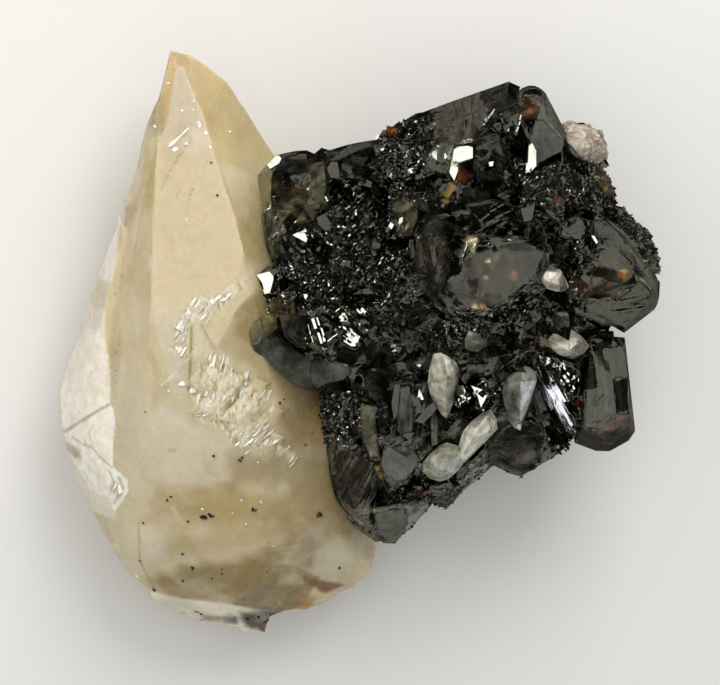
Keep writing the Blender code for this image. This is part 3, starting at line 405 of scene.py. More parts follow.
# The body's colours, one over the other: outline, colour, softness of the edge, strength
BODY_TONES = [
    ([(-23, 36.8), (-23.3, 31.4), (-25.2, 24), (-25.7, 5.4), (-25.3, 1), (-26.4, -3), (-31.4, -3),
     (-31.8, 4.1), (-30, 14.4), (-28.6, 18.5), (-25.6, 28.6)], (212, 197, 163), 0.3, 1),
    ([(-28.4, 12.5), (-25.6, 13.5), (-25.7, 5), (-27.8, 5.8)], (198, 184, 150), 0.9, 0.8),
    ([(-27, 22.5), (-25.1, 24.4), (-25.2, 17.5), (-26.4, 16.5)], (188, 172, 118), 0.8, 0.8),
    ([(-28.6, 4.8), (-26.4, 4.4), (-26.2, 0.8), (-28.8, 0.8)], (212, 203, 172), 1, 0.6),
    ([(-22, 36.8), (-21.1, 32.9), (-19.2, 27.6), (-17.6, 22.6), (-15.4, 15.4), (-13.9, 9.6),
     (-12.9, 6.8), (-9, 4), (-4, 8), (-8, 24), (-14, 31), (-18, 36)], (230, 212, 162), 0.2, 1),
    ([(-21.9, 35.8), (-18.6, 33.6), (-16.6, 28.4), (-18.6, 26), (-20.4, 30.4)], (220, 194, 144), 1,
     0.7),
    ([(-15.6, 14.4), (-12, 15), (-10, 8), (-13, 7)], (220, 202, 144), 1.4, 0.7),
    ([(-17.2, 22.4), (-13.6, 21.6), (-13.8, 15.6), (-15.4, 15.2)], (248, 232, 192), 0.8, 0.85),
    ([(-20, 34.5), (-12, 31), (-11, 24), (-15, 24), (-18.5, 30)], (228, 204, 148), 1, 0.7),
    ([(-23.8, 36.8), (-21.6, 36.8), (-21.3, 34.8), (-22.8, 34.3), (-24.4, 33.6)], (210, 178, 130), 0.3,
     0.9),
    ([(-23.4, 35.4), (-22.7, 34.3), (-23.3, 31.4), (-23.8, 28.4), (-24.6, 26.6), (-26, 27.6)],
     (210, 180, 132), 0.25, 0.9),
    ([(-25.9, 30.2), (-24.4, 31.4), (-24.2, 26.4), (-26.4, 25.4)], (176, 166, 140), 0.3, 0.7),
    ([(-17.2, 0.2), (-12.6, 6.8), (-8, 2), (-4, -6), (-4, -13), (-9, -14), (-10, -7), (-14, -2.6)],
     (182, 164, 122), 1.4, 0.9),
    ([(-15.6, 3.6), (-12.6, 6.4), (-11, 4), (-12, -0.6), (-14.6, 0.4)], (156, 138, 90), 0.7, 0.8),
    ([(-8.4, -7), (-6, -5.4), (-4.4, -13), (-8.2, -15)], (160, 142, 100), 1.2, 0.8),
    ([(-6.6, -3), (-4.2, -5), (-2.6, -13), (-5, -12)], (192, 156, 100), 0.9, 0.8),
    ([(-30, -9), (-22, -8), (-15, -14), (-18, -19), (-28, -18)], (216, 206, 184), 2.2, 0.9),
    ([(-31, -3), (-27.6, -3), (-26.4, -9), (-29, -15), (-30.4, -15)], (208, 197, 172), 1.4, 0.8),
    ([(-25, -17.8), (-12, -18.2), (-5, -18), (-3, -22.5), (-12, -23.2), (-20, -22.8), (-26, -21.6)],
     (182, 161, 110), 1.6, 0.85),
    ([(-27, -25.2), (-16, -23.2), (-9, -22.6), (-5, -23.4), (-13, -25.4), (-24, -27)], (194, 178, 138),
     1.1, 0.8),
    ([(-27, -29.6), (-22.5, -28.3), (-12, -26.4), (-8, -24), (-6.4, -25), (-14, -32.4), (-24, -32)],
     (149, 128, 72), 1.1, 0.92),
    ([(-9.8, -21.6), (-5, -21.6), (-4.4, -24.8), (-8.8, -25.6)], (172, 150, 102), 1, 0.7),
    ([(-26.4, -24.2), (-24.2, -24.4), (-24, -26.6), (-26.2, -27)], (218, 212, 196), 1.2, 0.7),
    ([(-24.8, -7.6), (-21, -10), (-19.6, -11), (-20.2, -11.9), (-21.6, -11.2), (-24.8, -8.6)],
     (220, 212, 194), 0.4, 0.8),
    ([(-9.8, -27.7), (-6, -23.6), (-1, -23), (1.4, -26), (-2.4, -31), (-4.8, -29.4)], (198, 188, 164),
     0.8, 0.9),
    ([(-8.6, -26.8), (-6.2, -24), (-4.6, -24.6), (-5.8, -28.2), (-7.8, -28.4)], (150, 134, 98), 0.9,
     0.8),
    ([(-16.4, -14), (-10, -13.8), (-8.8, -17.4), (-15.6, -17.8)], (160, 144, 106), 1.3, 0.7),
    ([(-15.6, -32.75), (-9.8, -27.9), (-7.7, -28), (-4.8, -29.4), (-5.8, -31), (-7.1, -33),
     (-10, -34.4)], (158, 142, 106), 0.15, 1),
    ([(-15.8, -32.9), (-9.9, -27.8), (-8.4, -28.2), (-13, -33.2)], (142, 126, 94), 0.4, 0.9),
    ([(-26.6, -31.1), (-21.5, -32.2), (-16.5, -32.75), (-13.1, -33.4), (-10, -33.6), (-9.8, -38),
     (-28, -36), (-29.4, -30.4)], (238, 230, 212), 0.15, 1),
    ([(-17, -34.4), (-15.4, -34.3), (-15.2, -35.3), (-16.8, -35.2)], (100, 98, 86), 0.35, 0.95),
    ([(-15, -33.7), (-9.8, -33.4), (-10, -36.2), (-13.8, -36)], (62, 58, 48), 0.6, 0.95),
    ([(-12.6, -33.9), (-11.2, -33.9), (-11.6, -35), (-12.8, -34.8)], (150, 146, 136), 0.35, 0.8),
    ([(-19.6, -34.2), (-16, -34), (-16.4, -35), (-19.4, -35)], (150, 144, 126), 0.4, 0.8),
    ([(-12.4, -35.3), (-10.4, -35), (-10.4, -37.4), (-12.6, -37.4)], (92, 56, 28), 0.4, 0.95),
    ([(-6.9, -29.2), (-4.8, -29.7), (-1.8, -30.4), (-4, -31.4), (-6.1, -30.4)], (124, 90, 50), 0.3,
     0.9),
    ([(-7.6, -32.4), (-5.4, -31.9), (-6.2, -34.4), (-7.9, -34.4)], (188, 142, 84), 0.4, 0.8),
    ([(-6, -13), (-3, -14), (1.4, -24), (-4, -24.4), (-8.4, -18)], (164, 144, 98), 1.6, 0.8),
    ([(-10.4, -14.6), (-5, -13), (-4.4, -18), (-9, -18)], (176, 160, 124), 1.4, 0.8),
    (PALE_CRYSTAL, (232, 224, 208), 0.15, 0.95),
    ([(-29.6, 17.4), (-30.3, 13.2), (-31, 7.6), (-32.4, 8), (-32.4, 12), (-30.6, 17.4)],
     (244, 235, 226), 0.2, 0.9),
    ([(-32.4, 8), (-31.2, 7.6), (-31.6, 4.6), (-33.2, 4), (-34, 6.2)], (214, 205, 184), 0.35, 0.8),
    ([(-34.4, 3.4), (-32.4, 3.6), (-31.8, 0.8), (-33.4, -0.4), (-36.4, -1.6)], (222, 214, 206), 0.6,
     0.8),
]

# The front face's own colours
FRONT_TONES = [
    ([(-22.8, 34.6), (-21.4, 34.4), (-19.8, 29.1), (-18.8, 26.5), (-24.6, 26), (-23.4, 31.4)],
     (216, 203, 182), 1, 0.9),
    ([(-23.6, 24.9), (-20, 28.2), (-18.2, 25.5), (-20.5, 23.4)], (232, 222, 200), 0.7, 0.6),
    ([(-23, 36.8), (-21.6, 36.8), (-21.7, 34.8), (-22.8, 34.4)], (212, 182, 134), 0.25, 0.9),
    ([(-26, 4), (-22, 3), (-18, 2), (-20, -7), (-24.5, -7)], (216, 209, 186), 1.6, 0.9),
    ([(-20.5, 2.5), (-18.7, -2.6), (-21, -2.8)], (218, 211, 184), 0.15, 0.8),
    ([(-16.6, 5), (-13, 6.9), (-15.2, 4), (-17.2, 0.8), (-19.4, 2.2)], (214, 203, 166), 0.3, 0.8),
]

# Fine lines in the calcite: points, width, colour, strength
CALCITE_LINES = [
    ([(-20.9, 25.5), (-22.6, 23.1), (-23.6, 21.4), (-24.7, 19.1)], 0.16, (172, 156, 112), 0.6),
    ([(-22.3, 19.3), (-22.7, 18.2)], 0.14, (176, 160, 116), 0.6),
    ([(-20.6, 19.4), (-21.2, 17.9)], 0.14, (176, 160, 116), 0.6),
    ([(-20.8, 2.1), (-20.9, -2), (-21.1, -5.9)], 0.3, (172, 156, 104), 0.9),
    ([(-19.6, 2.3), (-18.6, 0.4), (-18, -0.6)], 0.35, (186, 170, 120), 0.8),
    ([(-31.3, -7.75), (-33.8, -9.2), (-36.8, -11.1)], 0.26, (156, 148, 130), 0.75),
    ([(-36.1, -11.6), (-34.8, -12.6), (-33.3, -13.1), (-32.6, -14.1), (-30.8, -15.6)], 0.18,
     (160, 152, 134), 0.55),
    ([(-33.3, -13.1), (-33.8, -11.2), (-33.2, -10.4)], 0.18, (176, 170, 154), 0.4),
    ([(-31.2, -16), (-30.6, -17.4), (-31.2, -19)], 0.2, (168, 160, 140), 0.55),
    ([(-30, -16.8), (-29.4, -18), (-30.6, -20)], 0.25, (176, 168, 148), 0.6),
    ([(-36.6, -12.9), (-35.4, -14)], 0.8, (184, 177, 150), 0.7),
    ([(-27.5, -22.4), (-27.4, -27.4), (-25.8, -30.6)], 0.22, (160, 146, 104), 0.6),
    ([(-23.2, -20.6), (-22, -22.6)], 0.4, (214, 206, 184), 0.6),
    ([(-24.5, -12.9), (-23.1, -13.1)], 0.3, (222, 214, 194), 0.7),
    ([(-23.9, -13.4), (-22.9, -13.4)], 0.2, (168, 154, 112), 0.7),
    ([(-26, -1.4), (-25, -4), (-25.4, -8)], 0.7, (196, 184, 148), 0.6),
    ([(-28.6, 12), (-27.2, 10.4), (-26.2, 10.8)], 0.5, (200, 188, 146), 0.6),
    ([(-29, 9.4), (-28, 8.6), (-27.6, 6.8)], 0.4, (204, 192, 152), 0.6),
    ([(-10.8, 23.8), (-14.6, 29.5), (-16.3, 32.5)], 0.5, (218, 204, 164), 0.7),
    ([(-28.6, 17.9), (-25.9, 26.9)], 0.4, (208, 198, 158), 0.7),
]


def along_line(points, line):
    """How far, in millimetres, each point is from a line of points seen from above."""
    nearest = np.full(len(points), 1e9)
    for first, second in zip(line, line[1:]):
        run = np.subtract(second, first)
        away = points[:, :2] - np.array(first)
        share = np.clip(away @ run / (run @ run), 0, 1)
        nearest = np.minimum(nearest, np.hypot(*(away - share[:, None] * run).T))
    return nearest


def plain_colour(count, colour):
    return np.tile(np.array(srgb(*colour)), (count, 1))


def laid_over(colours, colour, share):
    """Colours with one more laid over them, by its share at each point."""
    return colours * (1 - share)[:, None] + np.array(srgb(*colour)) * share[:, None]


def layered_colours(points, ground, tones, lines, ragged):
    """Colours laid over each other by outlines and lines, with a ragged edge."""
    colours = plain_colour(len(points), ground)
    for outline, colour, softness, strength in tones:
        depth = depth_inside(points, outline) + ragged * softness
        colours = laid_over(colours, colour, soft_step(depth, -softness, softness) * strength)
    for line, width, colour, strength in lines:
        away = along_line(points, line) + ragged * width * 0.5
        share = soft_step(-away, -width, -width * 0.3) * strength
        colours = laid_over(colours, colour, share)
    return colours


def calcite_material():
    """Milky honey calcite: its body, its cream front face and its white skin."""
    material, tree, shader = new_material("honey_calcite")
    place = place_of(tree)
    body = attribute(tree, "tint", "Color")
    front = attribute(tree, "front_tint", "Color")
    wobble = combine(tree, "SUBTRACT", noise_of(tree, place, 900, 3), 0.5)
    depth = combine(tree, "ADD", attribute(tree, "front_depth"),
                    combine(tree, "MULTIPLY", wobble, 0.12))
    colour = blend_colour(tree, ramp(tree, depth, -0.09, 0.09), body, front)
    cloud = noise_of(tree, place, 170, 4, 0.6, 0.6)
    colour = blend_colour(tree, ramp(tree, cloud, 0.5, 0.76, 0.0, 0.32), colour,
                          srgb(234, 226, 206))
    colour = blend_colour(tree, ramp(tree, cloud, 0.26, 0.44, 0.28, 0.0), colour,
                          srgb(176, 158, 108))
    skin = combine(tree, "ADD", attribute(tree, "white_depth"),
                   combine(tree, "MULTIPLY", wobble, 0.7))
    patches = ramp(tree, noise_of(tree, place, 800, 4, 0.65, 0.5), 0.36, 0.6)
    white = blend_colour(tree, patches, srgb(240, 231, 216), srgb(252, 247, 238))
    cracks = attribute(tree, "crack")
    white = blend_colour(tree, cracks, white, srgb(158, 150, 132))
    whiteness = ramp(tree, skin, -0.05, 0.1, 0.0, 0.96)
    colour = blend_colour(tree, whiteness, colour, white)
    weave = attribute(tree, "weave", "Vector")
    broken = combine(tree, "ADD", attribute(tree, "broken"),
                     combine(tree, "MULTIPLY", wobble, 0.9))
    facets = None
    for size, amount in ((1.0, 0.4), (0.45, 0.6)):
        cells = add_node(tree, "ShaderNodeTexVoronoi", Vector=weave, Scale=1 / size)
        tone = add_node(tree, "ShaderNodeSeparateColor", Color=cells.outputs["Color"])
        part = combine(tree, "MULTIPLY", tone.outputs[0], amount)
        facets = part if facets is None else combine(tree, "ADD", facets, part)
    shard = blend_colour(tree, ramp(tree, facets, 0.15, 0.45), srgb(190, 172, 130),
                         srgb(228, 217, 192))
    shard = blend_colour(tree, ramp(tree, facets, 0.45, 0.75), shard, srgb(247, 240, 220))
    colour = blend_colour(tree, ramp(tree, broken, 0.25, 0.7, 0.0, 0.8), colour, shard)
    grain = ramp(tree, noise_of(tree, place, 1400, 3, 0.6), 0.3, 0.7, 0.965, 1.03)
    rough = ramp(tree, noise_of(tree, place, 500, 4), 0.3, 0.7, 0.16, 0.34)
    feed(tree, shader, Base_Color=vector_math(tree, "SCALE", colour, grain), Roughness=rough,
         IOR=CALCITE_IOR, Subsurface_Weight=0.8, Subsurface_Radius=(1.0, 0.78, 0.45),
         Subsurface_Scale=1.6 * MM, Transmission_Weight=0.08)
    unevenness = attribute(tree, "unevenness")
    normal = small_faces(tree, weave, [(1.0, unevenness), (0.45, unevenness)])
    relief = noise_of(tree, place, 500, 5, 0.6)
    bump(tree, shader, relief, 0.22, 0.25 * MM, normal)
    return material


def make_calcite():
    """The large calcite: rounded, moved to the outline that shows, and roughened."""
    shape = merged_copy("calcite_crystal")
    split_long_edges(shape, CALCITE_EDGE, HIDDEN_EDGE)
    points = np.array([vert.co / MM for vert in shape.verts])
    top = np.array([vert.normal.z for vert in shape.verts]) > 0.02
    broken = np.maximum(depth_inside(points, BROKEN_UPPER), depth_inside(points, BROKEN_LOWER))
    weights = soft_step(-points[:, 1], -1.0, 7.0) * 0.8
    weights = np.maximum(weights, soft_step(broken, -2.2, -0.6))
    weights = np.maximum(weights, soft_step(-np.abs(points[:, 0] + 30.2), -2.4, -1.0) * 0.35
                         * (points[:, 1] < 18))
    weights *= top & (points[:, 2] > 3)
    relax(shape, weights * 0.85, 110)
    points = np.array([vert.co / MM for vert in shape.verts])
    levels, edges, bulges = np.array(LEFT_EDGE).T
    near = soft_step(np.interp(points[:, 1], levels, edges) + 1.5 - points[:, 0], 0.0, 1.2)
    bulge = near * np.interp(points[:, 1], levels, bulges)
    rise = soft_step(points[:, 1], 33.0, 36.4)
    away = (points[:, :2] - np.array(FOOT_CORNER)) @ np.array((0.64, -0.77))
    along = (points[:, :2] - np.array(FOOT_CORNER)) @ np.array((-0.77, -0.64))
    foot = soft_step(away, -5.5, 0.0) * soft_step(along, -1.0, 3.0) * soft_step(-along, -14.0, -9.0)
    for vert, out, up, low in zip(shape.verts, bulge, rise, foot):
        vert.co.x += (1.5 * low - out) * MM
        vert.co.y += (0.35 * up - 1.6 * low) * MM
    shape.normal_update()
    points = np.array([vert.co / MM for vert in shape.verts])
    swell = (waves(points, 9.0, 1) - 0.5) * 0.35 + (waves(points, 2.6, 3) - 0.5) * 0.12
    crumble = (waves(points, 0.7, 6) - 0.5) * 0.3 * soft_step(broken, -0.5, 0.6)
    skin = soft_step(depth_inside(points, WHITE_PATCH), -0.2, 0.5)
    crumble += (waves(points, 1.3, 7) - 0.35) * 0.35 * skin * soft_step(-points[:, 1], 9, 16)
    lift = (swell + crumble) * (points[:, 2] > 0.6)
    for vert, amount in zip(shape.verts, lift):
        vert.co += vert.normal * float(amount) * MM
        vert.co.z = max(vert.co.z, 0.0)
    piece = finished("honey_calcite_crystal", shape, calcite_material(),
                     "calcite_crystal", sharp=26)
    mesh = piece.data
    points = places_of(mesh)
    ragged = (waves(points, 2.0, 5) - 0.5) * 1.6
    cloud = (0.93 + 0.14 * waves(points, 7.0, 2))[:, None]
    store_colour(mesh, "tint",
                 layered_colours(points, (212, 200, 168), BODY_TONES, CALCITE_LINES, ragged) * cloud)
    store_colour(mesh, "front_tint",
                 layered_colours(points, (221, 206, 176), FRONT_TONES, CALCITE_LINES, ragged))
    store_number(mesh, "front_depth", depth_inside(points, CALCITE_FRONT))
    store_number(mesh, "white_depth", depth_inside(points, WHITE_PATCH))
    crack = np.zeros(len(points))
    for line, width, colour, strength in CALCITE_LINES:
        away = along_line(points, line) + ragged * width * 0.5
        crack = np.maximum(crack, soft_step(-away, -width, -width * 0.3) * strength)
    crack = np.maximum(crack, soft_step(points[:, 1], -9.0, -5.0) * 0.13)
    store_number(mesh, "crack", crack)
    patchy = soft_step(waves(points, 1.5, 15), 0.3, 0.5)
    store_number(mesh, "broken", soft_step(broken, -0.4, 0.5) * (0.3 + 0.7 * patchy))
    uneven = 0.015 + soft_step(broken, -0.3, 0.4) * 0.42
    uneven += soft_step(depth_inside(points, WHITE_PATCH), -0.1, 0.3) * 0.08
    store_number(mesh, "unevenness", uneven)
    weave = points.copy()
    weave[:, 0] = points[:, 0] * 1.6
    weave[:, 1] = points[:, 1] * 0.6 + points[:, 0] * 0.25
    store_vector(mesh, "weave", weave)
    return piece


# Bright blades and flakes in the calcite: outline, rise per mm along x and y
CALCITE_FLAKES = [
    ([(-23.8, 24.5), (-23.6, 25), (-22.4, 25.9), (-20.4, 27.9), (-21.1, 26.9), (-22.1, 25.9),
     (-23.2, 24.7)], SHINE),
    ([(-20.3, 27.6), (-19.9, 27.9), (-19.3, 27), (-19.8, 26.7)], (0.26, -0.2)),
    ([(-25.4, 29.2), (-24.6, 29.9), (-24.6, 28.6)], SHINE),
    ([(-25.7, 27.2), (-25, 27.5), (-24.9, 27), (-25.5, 26.9)], SHINE),
    ([(-22.3, 29.1), (-22, 29.3), (-21.8, 29), (-22.1, 28.9)], SHINE),
    ([(-20.9, 29.2), (-20.6, 29.4), (-20.5, 29.1)], SHINE),
    ([(-20.8, 30.1), (-20.6, 30.6), (-20.4, 30.2)], SHINE),
    ([(-24.2, 32.6), (-23.6, 32.7), (-23.6, 32.4)], SHINE),
    ([(-23.4, 24.2), (-22.8, 24.6), (-22.4, 24.2), (-23, 23.9)], (0.3, -0.24)),
    ([(-21.9, 24.8), (-21.4, 25.2), (-21.2, 24.8)], SHINE),
    ([(-19.4, 26.2), (-19, 26.6), (-18.8, 26)], SHINE),
    ([(-18.7, 24.4), (-18.5, 24.8), (-18.3, 24.3)], SHINE),
    ([(-16.5, 26.8), (-15.9, 26.5), (-16, 26.3)], SHINE),
    ([(-22.8, 1.9), (-22, 3), (-21.5, 2.6), (-21.9, 1.3)], (0.2, -0.24)),
    ([(-21.6, 3.6), (-21.2, 4.4), (-20.8, 3.8), (-21.1, 2.9)], (0.24, -0.28)),
    ([(-22.9, -0.5), (-22.2, 0), (-21.9, -0.8), (-22.3, -1.3)], (0.2, -0.24)),
    ([(-22.6, -5.3), (-21.8, -4.5), (-21.6, -5.3)], SHINE),
    ([(-18.7, 5.3), (-17.6, 6), (-16.6, 6.6), (-17.2, 5.6), (-18.2, 4.8)], (0.3, -0.28)),
    ([(-17.4, 5.2), (-16, 6.6), (-14.6, 7.9), (-15.4, 6.6), (-16.6, 5.2)], (0.26, -0.3)),
    ([(-19.6, -20.3), (-19.3, -20.9), (-19.6, -20.8)], SHINE),
    ([(-14.8, -19.1), (-14.4, -19.9), (-14.7, -19.6)], SHINE),
    ([(-16.1, -21), (-15.6, -21.4), (-15.7, -21.2)], SHINE),
    ([(-12.4, -19.2), (-12, -20.1), (-12.3, -19.8)], SHINE),
    ([(-14.1, -22.2), (-13.9, -22.8), (-14.2, -22.5)], SHINE),
    ([(-10.8, -25.2), (-10.5, -25.4), (-10.7, -25.5)], SHINE),
    ([(-28.1, -28.9), (-27.8, -29.2), (-27.6, -29.5), (-27.9, -29.3)], SHINE),
    ([(-12.8, -14.5), (-12.3, -15), (-12.6, -14.9)], SHINE),
    ([(-23.9, -5.7), (-23.6, -5.8), (-23.5, -6.1), (-23.8, -6)], SHINE),
    ([(-21.6, 15.5), (-21.3, 15.2), (-21.4, 15.7)], SHINE),
    ([(-33.7, -3.1), (-33.4, -3.2), (-33.5, -3.4)], SHINE),
    ([(-30.1, -17.3), (-29.2, -17.6), (-29.3, -18.4), (-30, -19)], (0.2, -0.3)),
]

# The sphalerite

def sphalerite_colours(points):
    """The sphalerite's colour at each point, its own and some painted reflection, and its roughness."""
    count = len(points)
    colours = plain_colour(count, (4, 4, 3))
    rough = np.full(count, 0.06)
    edge = (waves(points, 1.0, 8) - 0.5) * 1.2
    patchy = soft_step(waves(points, 1.3, 16), 0.35, 0.6)
    for outline, colour, strength, softness, gloss in SPHALERITE_ZONES:
        share = soft_step(depth_inside(points, outline) + edge * softness, -softness, softness)
        share = share * strength * (points[:, 2] > 10)
        if softness >= 0.3:
            share *= 0.35 + 0.65 * patchy
        colours = laid_over(colours, colour, share)
        if gloss is not None:
            rough = rough * (1 - share) + gloss * share
    for line, width, colour in SPHALERITE_LINES:
        share = soft_step(-along_line(points, line) - edge * width * 0.4, -width, -width * 0.4)
        share = share * (points[:, 2] > 8)
        colours = laid_over(colours, colour, share)
    for x, y, radius, colour in SPHALERITE_SPOTS:
        away = np.hypot(points[:, 0] - x, points[:, 1] - y) + edge * 0.5 * radius
        share = soft_step(-away, -radius, -radius * 0.3) * (points[:, 2] > 17) * 0.9
        colours = laid_over(colours, colour, share)
    return colours, rough


# Faces that more than one list names
CORNER_FACE = [(22.2, 27.8), (23, 27.6), (25, 25.6), (25.8, 25), (25.3, 23.9), (22.2, 22.2),
    (21.6, 24.6)]
BLOCK_TOP = [(16.7, 11.8), (18, 12.2), (20, 12.5), (22, 11.8), (23, 11.3), (22.2, 9.6), (21.8, 8.5),
    (20.5, 7.3), (18, 5.3), (16.5, 4.5), (15.3, 4.2), (13.5, 4.4), (12.3, 5.5), (11.2, 6.5),
    (11.5, 7.9), (12.9, 8.3), (12.8, 9.6), (13.5, 10.8), (15.2, 11.2)]
FOOT_FACE = [(3.2, -12.9), (6.8, -12.8), (7.3, -14.5), (6.8, -16), (3.9, -18.1), (2.9, -15)]
LOWER_FACE = [(-3.3, -14), (-1.7, -12.9), (1.9, -14.9), (1.5, -18.2), (-0.7, -21), (-3, -18.4)]
